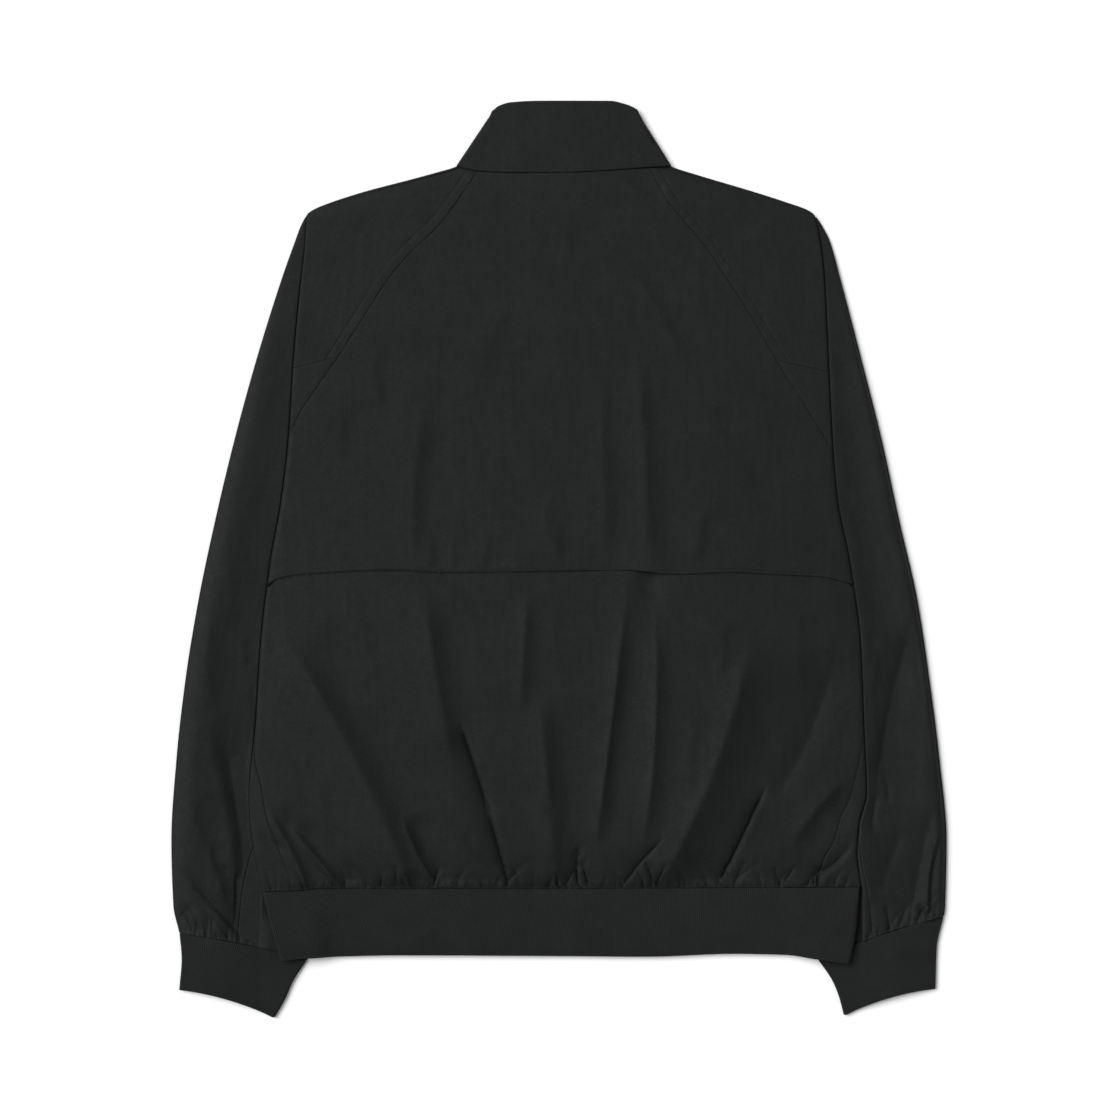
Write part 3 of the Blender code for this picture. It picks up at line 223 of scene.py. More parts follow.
# How much lower the back lies at its shoulder line
SHOULDER_FALL = EDGE_TOP - FLOOR_CLOTH - 2 * OUTER_ROUND
# Height of each sleeve's upper layer beside the body, from which it falls to its outer edge
SLEEVE_CROWN = Table(y=(297, 285, 265, 237, 200, 170, 103, 0, -100, -240, -300, -400),
                     left=(2.6, 2.7, 3.0, 3.8, 4.9, 5.8, 7.2, 8.6, 9.6, 9.8, 9.0, 7.4),
                     right=(2.6, 2.8, 3.8, 5.2, 6.6, 7.6, 8.6, 9.2, 9.6, 9.6, 9.0, 7.6))
# Its line across, from the body's edge to the outer edge, as a share of that further height
SLEEVE_BOW = Table(across=(0, 0.12, 0.3, 0.45, 0.62, 0.84, 1),
                   left=(0, 0.04, 0.2, 0.42, 0.72, 1, 1),
                   right=(0, -0.08, -0.42, -0.5, -0.2, 0.6, 1))

# A fold's crest through three points, seen with its first point below. Its left side rises to the
# crest by "rise" over about "left", and its right side falls from it by "fall" over "right".
Fold = namedtuple("Fold", "x0 y0 x1 y1 x2 y2 rise left fall right round")

# A narrow crease through three points, and how far its two sides reach
Crease = namedtuple("Crease", "x0 y0 x1 y1 x2 y2 depth left right")


def each(kind, *values):
    """One fold or crease for each row of values."""
    return tuple(kind(*row) for row in values)


PANEL_FOLDS = each(Fold,
    (-132.4, -265.1, -181.5, -156.7, -240.8, -58.7, 3.9, 30, 9.03, 18, 0.7),
    (-88.6, -185.1, -102.3, -115.5, -117.8, -15.7, 2.93, 20, 6.1, 14, 1.4),
    (-2.6, -265.1, -9.5, -189.4, -15.5, -112, 2.68, 16, 6.1, 13, 0.9),
    (-34.4, -137.8, -30.1, -77.6, -27.5, -21.7, 1.83, 8, 2.93, 10, 2),
    (-65.4, -62.1, -82.6, -38.1, -109.2, -14.8, 0.73, 10, 1.46, 9, 2),
    (-161.7, -87.9, -170.3, -58.7, -184.9, -24.3, 0.73, 12, 1.46, 12, 2.5),
    (-216.7, -278.9, -231.3, -246.2, -251.1, -213.5, 1.95, 9, 5.61, 6.5, 0.7),
    (-188.3, -280.6, -208.1, -255.6, -233.1, -227.3, 2.2, 10, 6.34, 6, 0.6),
    (-198.7, -254.8, -202.1, -219.5, -208.1, -187.7, 0.61, 9, 1.34, 9, 2),
    (-107.5, -277.1, -123, -248.8, -135, -218.7, 2.2, 10, 5.37, 6.5, 0.7),
    (31, -249.6, 42.1, -163.6, 60.2, -10.5, 3.17, 10, 5.61, 8.5, 1.2),
    (69.7, -251.3, 81.7, -159.3, 82.6, -34.6, 2.93, 9, 4.88, 10, 1.3),
    (93.7, -263.4, 136.7, -169.6, 166, -56.1, 4.64, 18, 9.76, 25, 1.4),
    (175.4, -206.6, 166, -223.8, 151.4, -251.3, 0.98, 5, 1.22, 4, 0.8),
    (198.7, -249.6, 218.4, -216.9, 250.3, -184.3, 1.46, 10, 4.64, 10, 1.4),
    (6, -120.6, -2.6, -77.6, -6, -34.6, 0.61, 10, 1.46, 12, 2.5),
    (112.7, -206.6, 112.7, -167.9, 121.3, -120.6, 0.61, 10, 1.22, 9, 2.5),
    (136.7, -100, 140.2, -77.6, 136.7, -51.8, 0.49, 8, 1.34, 7, 2),
    (203, -120.6, 207.3, -77.6, 198.7, -34.6, 0.61, 14, 1.1, 10, 3))
PANEL_CREASES = each(Crease,
    (-43, -275.4, -67.9, -187.7, -86, -137.8, 6.44, 7, 1),
    (-55, -265.1, -70.5, -249.6, -83.4, -230.7, 1.38, 4, 2.5),
    (141.9, -272, 160, -234.1, 179.7, -191.1, 4.83, 3.6, 1.2),
    (55.9, -280.6, 71.4, -259.1, 91.2, -237.6, 3.22, 3.2, 1),
    (222.7, -270.3, 243.4, -255.6, 258.9, -234.1, 3.22, 3.8, 1.3),
    (179.7, -211.8, 212.4, -156.7, 239.9, -77.6, 3.22, 16, 9),
    (18.1, -277.1, 16.3, -261.7, 17.2, -242.7, 3.91, 1.6, 1.1),
    (27.5, -278.9, 24.1, -268.5, 21.5, -256.5, 3.45, 1.3, 1),
    (-264, -230.7, -248.5, -242.7, -227.9, -251.3, 1.72, 5, 3),
    (-175.4, -275.4, -178, -268.5, -179.7, -259.9, 1.38, 2, 2),
    (84.3, -278.9, 79.1, -267.7, 74, -253.9, 3.22, 1.4, 1),
    (86, -278.9, 89.4, -268.5, 94.6, -256.5, 2.99, 1.3, 1),
    (147.9, -277.1, 145.3, -269.4, 141.9, -261.7, 1.61, 1.6, 1.4),
    (153.9, -273.7, 157.4, -265.1, 162.5, -256.5, 1.49, 1.6, 1.5),
    (190.1, -278.9, 187.5, -270.3, 184.9, -261.7, 1.84, 1.6, 1.5),
    (194.4, -278.9, 198.7, -270.3, 203.8, -261.7, 1.72, 1.5, 1.5),
    (220.2, -278.9, 222.7, -270.3, 226.2, -263.4, 1.61, 1.6, 1.5),
    (-136.7, -278.9, -138.5, -268.5, -140.2, -259.9, 1.49, 1.6, 1.6),
    (-105.8, -278.9, -104.1, -270.3, -100.6, -261.7, 1.84, 1.6, 1.5),
    (-33.5, -278.9, -35.3, -270.3, -39.6, -261.7, 1.49, 1.6, 1.5))
YOKE_FOLDS = each(Fold,
    (74.8, -7.1, 74, 77.2, 66.2, 201.9, 1.84, 13, 3.68, 12, 2),
    (40.4, -7.1, 38.7, 68.6, 35.3, 154.6, 0.92, 12, 2.18, 10, 2),
    (-122.1, -7.1, -124.7, 60, -112.7, 141.7, 1.03, 20, 3.33, 13, 2),
    (2.6, -7.1, -6.9, 21.3, -12, 51.4, 0.92, 9, 2.07, 8, 1.2),
    (112.7, -5.4, 119.5, 17, 123, 47.1, 0.69, 8, 1.95, 8, 1.5),
    (-110.1, -9.7, -110.1, 3.2, -107.5, 18.7, 0.46, 5, 1.15, 5, 1),
    (-90.3, -9.7, -91.2, 3.2, -93.7, 20.4, 0.46, 5, 1.15, 5, 1),
    (-62.8, -9.7, -63.6, 3.2, -61.1, 25.6, 0.46, 5, 1.38, 5, 1),
    (1.7, -0.2, 0.9, 17, -0.9, 38.5, 0.34, 5, 1.03, 5, 1),
    (109.2, 161.5, 88.6, 206.2, 62.8, 245.7, 0.8, 12, 1.95, 9, 2),
    (160, 75.5, 140.2, 103, 123, 121.9, 0.57, 10, 1.49, 8, 2),
    (145.3, 223.4, 121.3, 244, 93.7, 261.2, 0.46, 8, 1.38, 7, 2),
    (-155.7, 127.1, -156.5, 150.3, -162.5, 176.1, 0.46, 8, 1.72, 7, 2),
    (-186.6, 85.8, -186.6, 111.6, -183.2, 141.7, 0.46, 12, 1.38, 10, 3),
    (181.5, 276.7, 151.4, 278.4, 120.4, 292.2, 0.46, 8, 1.38, 7, 2),
    (91.2, 306.8, 74, 312.8, 49.9, 326.6, 0.46, 5, 1.49, 5, 1.2),
    (-135, 266.4, -158.2, 275, -179.7, 276.7, 0.34, 6, 1.03, 6, 1.5),
    (159.1, 51.4, 159.1, 77.2, 155.7, 111.6, 0.34, 12, 1.03, 10, 3),
    (9.5, 256.1, 7.7, 270.7, 4.3, 287.9, 0.34, 6, 1.03, 7, 1.5),
    (-76.5, 128.8, -59.3, 189, -40.4, 223.4, 0.46, 16, 1.38, 14, 3))
SLEEVE_FOLDS = each(Fold,
    (-278.6, -268.5, -283.8, -216.9, -302.7, -134.4, 1.8, 13, 8.6, 8, 5),
    (-300.1, -139.5, -301.9, -86.2, -296.7, -34.6, 0.5, 12, 1.6, 9, 3.5),
    (-289.8, -280.6, -297.6, -259.9, -301.9, -241, 0.6, 5, 2.2, 4, 1.2),
    (-301.9, -251.3, -309.6, -227.3, -317.3, -201.5, 0.5, 8, 1.5, 6, 2.5),
    (-269.2, -93.1, -270.9, -81.9, -276.1, -65.6, 0.4, 7, 1.3, 6, 2),
    (-264, -139.5, -265.7, -120.6, -269.2, -106.9, 0.4, 7, 1.3, 6, 2),
    (316.5, -299.5, 319.1, -259.9, 332, -220.4, 1.6, 3, 5.2, 2.2, 0.5),
    (-271.8, -325.3, -269.2, -292.6, -264, -256.5, 0.3, 4, 3.6, 5, 0.8),
    (-290.7, -327, -289.8, -296.9, -286.4, -266.8, 1.6, 14, 6, 20, 4),
    (267.5, -120.6, 270.9, -96.5, 276.1, -69, 0.4, 7, 1.3, 5, 2),
    (264, -93.1, 264, -77.6, 260.6, -62.1, 0.3, 5, 1.2, 4, 1.5),
    (284.7, -0.2, 281.2, 68.6, 264, 137.4, 0.3, 14, 1.2, 10, 3)) + each(Crease,
    (270.9, -211.8, 283.4, -134.4, 308.7, -32.9, 3.6, 5, 30),
    (270, -239.3, 270.5, -216.9, 275.2, -196.3, 2.2, 3.5, 3),
    (279.5, -210.1, 282.9, -200.6, 279.5, -187.7, 1.2, 1.6, 2.5),
    (305.3, -294.3, 312.2, -258.2, 322.5, -206.6, 2.8, 10, 2.8),
    (279.5, -277.1, 286.4, -254.8, 295.8, -229, 1.5, 6, 4.5),
    (283.8, -316.7, 282.9, -306.4, 279.5, -295.2, 2.6, 1.6, 1.2),
    (295.8, -311.5, 296.7, -304.7, 301, -296.1, 1.2, 1.6, 1.5),
    (312.2, -309.8, 311.3, -302.1, 307.9, -294.3, 2.4, 1.8, 1.4),
    (269.2, -321.9, 268.3, -305.5, 268.3, -289.2, 0.9, 2, 2),
    (259.7, -320.1, 260.6, -308.1, 262.3, -294.3, 1, 2, 1.6),
    (323.4, -308.1, 324.2, -299.5, 326.8, -289.2, 1.4, 1.6, 1.4),
    (-270, -276.3, -282.9, -272, -290.7, -259.1, 2.4, 1.8, 3.5),
    (-274.3, -321.9, -298.4, -294.3, -325.1, -261.7, 3.4, 1.7, 3.6),
    (-313.9, -318.4, -320.8, -305.5, -329.4, -292.6, 1.9, 1.4, 2.2),
    (-307.9, -318.4, -314.8, -305.5, -322.5, -295.2, 1.6, 1.3, 1.8),
    (-301.9, -323.6, -301, -314.1, -301.9, -303.8, 1.2, 1.3, 1.3),
    (-296.7, -323.6, -297.6, -315, -296.7, -304.7, 1.1, 1.2, 1.3),
    (-248.5, -309, -259.7, -305.5, -269.2, -300.4, 3, 2.4, 2.8),
    (-246.8, -327.9, -253.7, -319.3, -266.6, -315, 2.4, 2.2, 2.4),
    (-260.6, -330.5, -262.3, -323.6, -264, -315, 1.2, 1.4, 1.2))

# Where and how far the yoke's hem is lifted off the panel, and the width and height of that lift
YOKE_LIFT_X, YOKE_LIFT, YOKE_LIFT_SIZE = 79.0, 1.8, (12.0, 30.0)
# Places of the large gathers above the hem and the cuffs
HEM_TUCKS = (-246, -218, -191, -183, -164, -152, -138, -131, -108, -86, -63.5, -44, -22, -8, 1.5,
             8, 14, 20, 27, 56, 74, 81, 88, 111, 129, 140, 151, 175, 190, 214, 221, 237, 246)
CUFF_TUCKS = {LEFT: (326, 321, 313, 303, 293, 283.5, 275, 259, 247),
              RIGHT: (325, 317, 308, 301, 292, 284, 275, 266, 254)}


def cell_noise(x, y, cell, seed):
    """Smooth noise between about -1 and 1, with hills about "cell" apart."""
    lattice = np.random.default_rng(seed).uniform(-1, 1, (97, 97))
    x, y = np.asarray(x) / cell + 500, np.asarray(y) / cell + 500
    left, below = np.floor(x).astype(int), np.floor(y).astype(int)
    u, v = ease(x - left), ease(y - below)
    pick = lambda i, j: lattice[(left + i) % 97, (below + j) % 97]
    low, high = (pick(0, j) * (1 - u) + pick(1, j) * u for j in (0, 1))
    return low * (1 - v) + high * v


def crumple(x, y, seed):
    """Low unevenness of cloth that has been worn: soft hills and a few faint ridges."""
    lean_x, lean_y = 0.8 * x + 0.6 * y, 0.8 * y - 0.6 * x
    soft = 0.34 * cell_noise(x, y * 0.6, 34, seed)
    soft = soft + 0.16 * cell_noise(lean_x, lean_y * 0.7, 17, seed + 1)
    ridge = 0.22 * (0.35 - np.abs(cell_noise(x * 1.3, y * 0.5, 21, seed + 2)))
    return soft + ridge + 0.05 * cell_noise(lean_x, lean_y, 6.5, seed + 3)


def line_of(fold, count=25):
    """Points along a fold's curve."""
    t = np.linspace(0, 1, count)
    ends, middle = (fold.x0, fold.y0, fold.x2, fold.y2), (fold.x1, fold.y1)
    bend = [2 * middle[i] - (ends[i] + ends[i + 2]) / 2 for i in (0, 1)]
    return [(1 - t) ** 2 * ends[i] + 2 * t * (1 - t) * bend[i] + t * t * ends[i + 2] for i in (0, 1)]


def beside(x, y, line_x, line_y):
    """Signed distance from a line, positive to its right, and the share of its length passed."""
    run_x, run_y = np.diff(line_x), np.diff(line_y)
    from_x, from_y = x[:, None] - line_x[:-1], y[:, None] - line_y[:-1]
    share = np.clip((from_x * run_x + from_y * run_y) / (run_x ** 2 + run_y ** 2), 0, 1)
    away = np.hypot(from_x - share * run_x, from_y - share * run_y)
    near = np.argmin(away, axis=1)
    pick = np.arange(len(x)), near
    side = np.sign(from_x[pick] * run_y[near] - from_y[pick] * run_x[near])
    return away[pick] * side, (near + share[pick]) / len(run_x)


def crest(fold, d):
    """Section of a fold at a distance d to the right of its crest."""
    left, right = np.maximum(-d, 0) / fold.left, np.maximum(d, 0) / fold.right
    fallen = (fold.rise - fold.fall * np.tanh(right)) * np.exp(-(right / 3.2) ** 2)
    return np.where(d < 0, fold.rise * (1 - np.tanh(left)), fallen)


def section(line, d):
    """Section of a fold or a crease, with its edge a little rounded."""
    if isinstance(line, Fold):
        rounding = (-1.2, 0.06), (-0.6, 0.25), (0, 0.38), (0.6, 0.25), (1.2, 0.06)
        return sum(share * crest(line, d + shift * line.round) for shift, share in rounding)
    reach = np.where(d < 0, line.left, line.right)
    return -1.2 * line.depth * np.exp(-np.hypot(d / reach, 0.2))


def near_lines(lines, x, y):
    """Each line that comes near, with the points by it, their distances and its fading there."""
    for line in lines:
        line_x, line_y = line_of(line)
        reach = 5 * max(line.left, line.right)
        near = np.flatnonzero((x > line_x.min() - reach) & (x < line_x.max() + reach)
                              & (y > line_y.min() - reach) & (y < line_y.max() + reach))
        if len(near):
            d, along = beside(x[near], y[near], line_x, line_y)
            start = 1.0 if line.y0 < -255 else ease(along / 0.3)
            yield line, near, d, start * ease((1 - along) / 0.28)


def fold_sum(lines, x, y):
    """Height that the given folds and creases add at (x, y)."""
    flat_x, flat_y = np.ravel(x), np.ravel(np.broadcast_to(y, np.shape(x)))
    total = np.zeros(flat_x.shape)
    for line, near, d, fade in near_lines(lines, flat_x, flat_y):
        total[near] += fade * section(line, d)
    return total.reshape(np.shape(x))


def overlap(x, y):
    """How far the right side of each crease leans over it."""
    total = np.zeros(x.shape)
    for line, near, d, fade in near_lines(PANEL_CREASES, x, y):
        over = np.where(d > 0, (1 - np.exp(-d / 0.5)) * np.exp(-d / 6), 0)
        total[near] += fade * over * min(0.5 * line.depth, 1.7) * (line.right < 2)
    return total * ease((y - HEM_SEAM("y", x)) / 6)


def near_tucks(tucks, out, rise, seed):
    """The gathers above a seam, large ones at the given places and small ones all along it."""
    random = np.random.default_rng(seed)
    span = max(tucks) - min(tucks) + 16
    fine = min(tucks) - 8 + np.cumsum(random.uniform(2.6, 6.0, int(span / 4.3)))
    for large, places in ((True, np.asarray(tucks, float)), (False, fine)):
        for place in places:
            reach = random.uniform(7, 17) if large else random.uniform(3.5, 8.5)
            width = random.uniform(0.9, 1.3) if large else random.uniform(0.6, 0.8)
            deep = random.uniform(1.6, 3.2) if large else random.uniform(0.7, 1.4)
            lean, curl = random.uniform(-0.4, 0.4), random.uniform(-0.035, 0.035)
            near = np.flatnonzero((np.abs(out - place) < 20) & (rise < 3 * reach))
            r = rise[near]
            d = (out[near] - place - lean * r - curl * r ** 2) / (width * (1 + r / 14))
            yield near, d, deep * np.exp(-(r / reach) ** 1.5) * (0.25 + 0.75 * ease(r / 2.5)), large


def tuck_sum(tucks, out, rise, seed, depth=1.0):
    """Height that the gathers above a seam add: sharp curved valleys with fuller cloth between."""
    total = np.zeros(np.shape(out))
    for near, d, deep, _ in near_tucks(tucks, out, np.maximum(rise, 0), seed):
        dip = 1.25 * np.exp(-np.hypot(np.where(d < 0, d / 1.6, d / 0.7), 0.25))
        total[near] -= depth * deep * (dip - 0.22 * np.exp(-((d + 4) / 2.4) ** 2))
    return total


def tuck_overlap(tucks, out, rise, seed):
    """How far the right side of each large gather leans over it."""
    total = np.zeros(np.shape(out))
    for near, d, deep, large in near_tucks(tucks, out, np.maximum(rise, 0), seed):
        over = np.where(d > 0, (1 - np.exp(-d / 0.4)) * np.exp(-d / 4), 0)
        total[near] += (0.7 if large else 0.45) * deep * over
    return total * ease(rise / 3)


def from_edge(x, y):
    """Distance in from the folded edge on the nearer side."""
    return np.where(x < 0, EDGE(LEFT, y) + x, EDGE(RIGHT, y) - x)


def from_shoulder(x, y):
    """Distance in from the shoulder line."""
    line = np.where(x < 0, 338 - 0.29 * (-x - 88.6), 338 - 0.30 * (x - 97))
    return np.maximum((line - y) * 0.96, EDGE_INSET)


def plain_height(x, y):
    """Middle of the upper layer of body and sleeve heads, without its folds."""
    top = EDGE_TOP + EDGE_EXTRA * ease((y + 283) / 50) * ease((285 - y) / 90)
    rise = (LOFT("height", y) - top) * (1 - np.exp(-np.maximum(from_edge(x, y), 0) / PILLOW))
    return top + rise - SHOULDER_FALL * np.exp(-(from_shoulder(x, y) - EDGE_INSET) / 7)


def back_height(x, y, folds=None):
    """Middle of the upper layer of body and sleeve heads."""
    folds = PANEL_FOLDS + PANEL_CREASES + YOKE_FOLDS if folds is None else folds
    above_hem = y - HEM_SEAM("y", x)
    inside = ease(from_edge(x, y) / 16)
    fold = fold_sum(folds, x, y) * inside * (0.3 + 0.7 * ease(above_hem / 10))
    calm = 0.4 + 0.6 * ease((from_shoulder(x, y) - 4) / 20)
    height = plain_height(x, y) + fold + crumple(x, y, 3) * inside * calm * ease(above_hem / 8)
    if np.min(y) < -200:
        height += tuck_sum(HEM_TUCKS, x, above_hem, HEM_SEED) * (y < -200)
    return height


def yoke_height(x, y):
    """Upper layer of the yoke, which stands off the panel where its hem is lifted."""
    above = np.maximum(y - YOKE_HEM("y", x), 0)
    across, up = (x - YOKE_LIFT_X) / YOKE_LIFT_SIZE[0], above / YOKE_LIFT_SIZE[1]
    hem = 0.15 * (1 - ease((above - 7.5) / 2.4)) - 0.22 * np.exp(-((above - 1.7) / 0.6) ** 2)
    lift = YOKE_LIFT * np.exp(-across ** 2 - up ** 2)
    wave = 0.35 * cell_noise(x, 0 * y, 16, 21) * np.exp(-above / 9)
    return back_height(x, y) + lift + (hem + wave) * ease(from_edge(x, y) / 3)


def panel_height(x, y):
    """The back panel: in plain view below the yoke's hem, and lower, under it, above the hem."""
    above = y - YOKE_HEM("y", x)
    step = YOKE_STEP * ease((above + 70) / 70)
    inward = 1 - np.exp(-from_edge(x, y) / 30)
    hidden = HIDDEN_DROP * ease((above + 4) / 20) * (1 - ease((y - 240) / 50)) * inward
    dip = 2.4 * np.exp(-((x - YOKE_LIFT_X) / 11) ** 2 - (np.minimum(above + 3, 0) / 30) ** 2)
    dip = dip * (1 - ease(above / 60))
    return back_height(x, y, PANEL_FOLDS + PANEL_CREASES) - step - hidden - dip


def front_height(side, out, y):
    """The fronts: on the surface in the middle, and lifted where the sleeve lies under them."""
    start = INNER(side, y) - 24
    near_armpit = 1 - ease((y - ARMPIT_Y[side]) / 45)
    return FLOOR_CLOTH + OVER_SLEEVE * ease((out - start) / 12) * near_armpit


def outer_round(y):
    """Radius of the sleeve's outer edge, small by the shoulder point."""
    return TURN + (OUTER_ROUND - TURN) * ease((290 - y) / 45)


def cuff_seam_y(side, out):
    """Line of the seam between sleeve and cuff."""
    inner, outer = CUFF_INNER[side](0.0), CUFF_OUTER[side](0.0)
    share = np.clip((out - inner[0]) / (outer[0] - inner[0]), 0, 1)
    return inner[1] + (outer[1] - inner[1]) * share + CUFF_BOW[0] * 4 * share * (1 - share)


def sleeve_height(side, out, y):
    """The sleeve's upper layer: flat under the body, and arched outside it."""
    start = EDGE(side, y) - CLEAR
    end = OUTER(side, y) - EDGE_HALF - outer_round(y)
    across = np.clip((out - start) / (end - start), 0, 1)
    rim = FLOOR_CLOTH + 2 * outer_round(y)
    lip = np.minimum(LIP_TOP[side], SLEEVE_CROWN(side, y)) - SLEEVE_UPPER
    bow = (SLEEVE_CROWN(side, y) - SLEEVE_UPPER - lip) * SLEEVE_BOW(side, across)
    plain = SLEEVE_UPPER + lip * ease((out - start) / LIP_WIDE) + bow
    plain = plain + (rim - plain) * across ** RIM_POWER[side]
    fade = ease((out - start) / 5) * ease((1 - across) * 7)
    rise = y - cuff_seam_y(side, out)
    fine = fold_sum(SLEEVE_FOLDS, SIGN[side] * out, y) * (0.3 + 0.7 * ease(rise / 10))
    fine = fine + crumple(out, y, SEED[side]) * ease(rise / 8)
    if np.min(y) < -200:
        fine = fine + tuck_sum(CUFF_TUCKS[side], out, rise, TUCK_SEED[side], 0.8) * (y < -200)
    over = plain + fade * fine - SLEEVE_UPPER
    return SLEEVE_UPPER + (over + np.sqrt(over ** 2 + 0.04)) / 2        # never under it


# ---------------------------------------------------------------- rows of points

THIN = ((0.0, 0.35), (0.16, 0.78))      # distance from a free edge and share of the wall there
CLOSE = (0.0, 0.16, 0.42)               # the first rows and columns in from a free edge


def points(side, out, y, z):
    """Points from distances out, heights up the jacket and heights off the surface."""
    out, y, z = np.broadcast_arrays(np.atleast_1d(np.asarray(out, float)), y, z)
    return np.stack([SIGN[side] * out, y, z], axis=-1)


def turn(side, centre, y, z, radius, start, stop, count):
    """Points round a fold, from the angle start to stop; 0 is outward and 90 is up."""
    angle = np.radians(np.linspace(start, stop, count))
    return points(side, centre + radius * np.cos(angle), y, z + radius * np.sin(angle))


def layer(x, y, height):
    """The back's upper layer at distances x across it, measured on round and under its edges."""
    x = np.atleast_1d(np.asarray(x, float))
    y = np.broadcast_to(np.asarray(y, float), x.shape)
    sign, p = np.sign(x), np.abs(x)
    edge = np.where(x < 0, EDGE(LEFT, y), EDGE(RIGHT, y)) - EDGE_HALF
    radius = np.full(x.shape, (EDGE_TOP - PLEAT) / 2)
    near = p > edge - 9
    if near.any():
        radius[near] = (height(sign[near] * (edge - radius)[near], y[near]) - PLEAT) / 2
    centre = edge - radius
    flat = np.minimum(p, centre)
    beyond = p - flat
    angle = np.minimum(beyond / radius, np.pi)
    out = flat + radius * np.sin(angle) - (beyond - angle * radius)
    z = np.where(beyond > 0, PLEAT + radius + radius * np.cos(angle), height(sign * flat, y))
    return np.stack([sign * out, y, z], axis=-1)


def fold_centre(side, y, height=None):
    """Distance out of the middle of the edge's fold, and the fold's radius."""
    edge = EDGE(side, y) - EDGE_HALF
    guess = np.atleast_1d(edge - (EDGE_TOP - PLEAT) / 2)
    radius = ((height or back_height)(SIGN[side] * guess, np.atleast_1d(y)) - PLEAT) / 2
    radius = radius if np.ndim(y) else float(radius[0])
    return edge - radius, radius


def side_seam(side, y, height=None):
    """The side seam's distance out, measured round the edge. By the hem it is on the back."""
    centre, radius = fold_centre(side, y, height)
    return centre + radius * np.pi / 2 - SIDE_ROLL(side, y)


def stops(length, pitch):
    """Distances along a length, close together at its two free ends."""
    count = max(int(round((length - 2 * CLOSE[-1]) / pitch)), 2)
    close = np.array(CLOSE[:-1])
    inner = np.linspace(CLOSE[-1], length - CLOSE[-1], count + 1)
    return np.concatenate([close, inner, length - close[::-1]])


def spread(start, stop, shares):
    """Distances out and heights up at shares of the way between two plan points."""
    return start[:, None] + (stop - start)[:, None] * shares


def seam_dip(away):
    """How far cloth rolls down at a distance from its seam."""
    return SEAM_DIP * np.exp(-np.maximum(away, 0) / SEAM_REACH)


def thin(rows, free):
    """Adds each point's share of the wall. Free edges: l and r end a row, t and b are rows."""
    made = []
    for number, row in enumerate(rows):
        share = np.ones(len(row))
        for i, (_, part) in enumerate(THIN):
            if "l" in free:
                share[i] = min(share[i], part)
            if "r" in free:
                share[-1 - i] = min(share[-1 - i], part)
            if "t" in free and number == i or "b" in free and len(rows) - 1 - number == i:
                share = np.minimum(share, part)
        made.append(np.column_stack([row[:, :3], share]))
    return made


def bridge(first, second):
    """Faces between two rows of different lengths, by index into each."""
    miles = []
    for row in (first, second):
        steps = np.linalg.norm(np.diff(row[:, :3], axis=0), axis=1)
        miles.append(np.concatenate([[0], np.cumsum(steps)]) / max(steps.sum(), 1e-9))
    faces, i, j = [], 0, 0
    while i < len(first) - 1 or j < len(second) - 1:
        if j == len(second) - 1 or (i < len(first) - 1 and miles[0][i + 1] <= miles[1][j + 1]):
            faces.append((i, i + 1, len(first) + j))
            i += 1
        else:
            faces.append((i, len(first) + j + 1, len(first) + j))
            j += 1
    return faces


def sewn(patches, ring=False):
    """Vertices, shares and faces of patches of rows that share points."""
    vertices, faces, start = [], [], 0
    for rows in patches:
        for number, row in enumerate(rows):
            row = np.asarray(row)
            vertices.append(row)
            size = len(row)
            if number:
                above = start - len(rows[number - 1])
                if size == len(rows[number - 1]):
                    i = np.arange(size if ring else size - 1)
                    j = (i + 1) % size
                    faces += np.stack([above + i, above + j, start + j, start + i], axis=1).tolist()
                else:
                    pair = bridge(np.asarray(rows[number - 1]), row)
                    faces += [[above + i for i in face] for face in pair]
            start += size
    vertices = np.vstack(vertices)
    _, first, index = np.unique(np.round(vertices[:, :3], 3), axis=0, return_index=True,
                                return_inverse=True)
    index = index.ravel()
    made, seen = [], set()
    for face in faces:
        corners = list(dict.fromkeys(index[face].tolist()))
        mark = tuple(sorted(corners))
        if len(corners) > 2 and mark not in seen:
            seen.add(mark)
            made.append(corners)
    return vertices[first, :3], vertices[first, 3], made


def outward(data):
    """Turns all the faces of a closed mesh outward."""
    mesh = bmesh.new()
    mesh.from_mesh(data)
    bmesh.ops.recalc_face_normals(mesh, faces=mesh.faces)
    mesh.to_mesh(data)
    mesh.free()


def shell(name, patches, wall, finish, nodes, ring=False, grain=0.0):
    """A wall of cloth about its middle surface, thinner at its free edges."""
    vertices, share, faces = sewn(patches, ring)
    data = bpy.data.meshes.new(name)
    data.from_pydata((vertices * MM).tolist(), [], faces)
    outward(data)
    piece = linked(name, data)
    group = piece.vertex_groups.new(name="Wall")
    for part in np.unique(share):
        group.add(np.flatnonzero(share == part).tolist(), float(part), "REPLACE")
    thicken = piece.modifiers.new("Wall", "SOLIDIFY")
    thicken.thickness = wall * MM
    thicken.offset = 0.0
    thicken.use_quality_normals = True
    thicken.vertex_group = group.name
    graph = bpy.context.evaluated_depsgraph_get()
    made = bpy.data.meshes.new_from_object(piece.evaluated_get(graph))
    piece.modifiers.clear()
    piece.data = made
    piece.vertex_groups.clear()
    bpy.data.meshes.remove(data)
    made.name = name
    outward(made)
    made.materials.clear()
    made.materials.append(finish)
    made.shade_smooth()
    lay_grain(made, grain)
    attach(piece, "root")
    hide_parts(*nodes)
    return piece


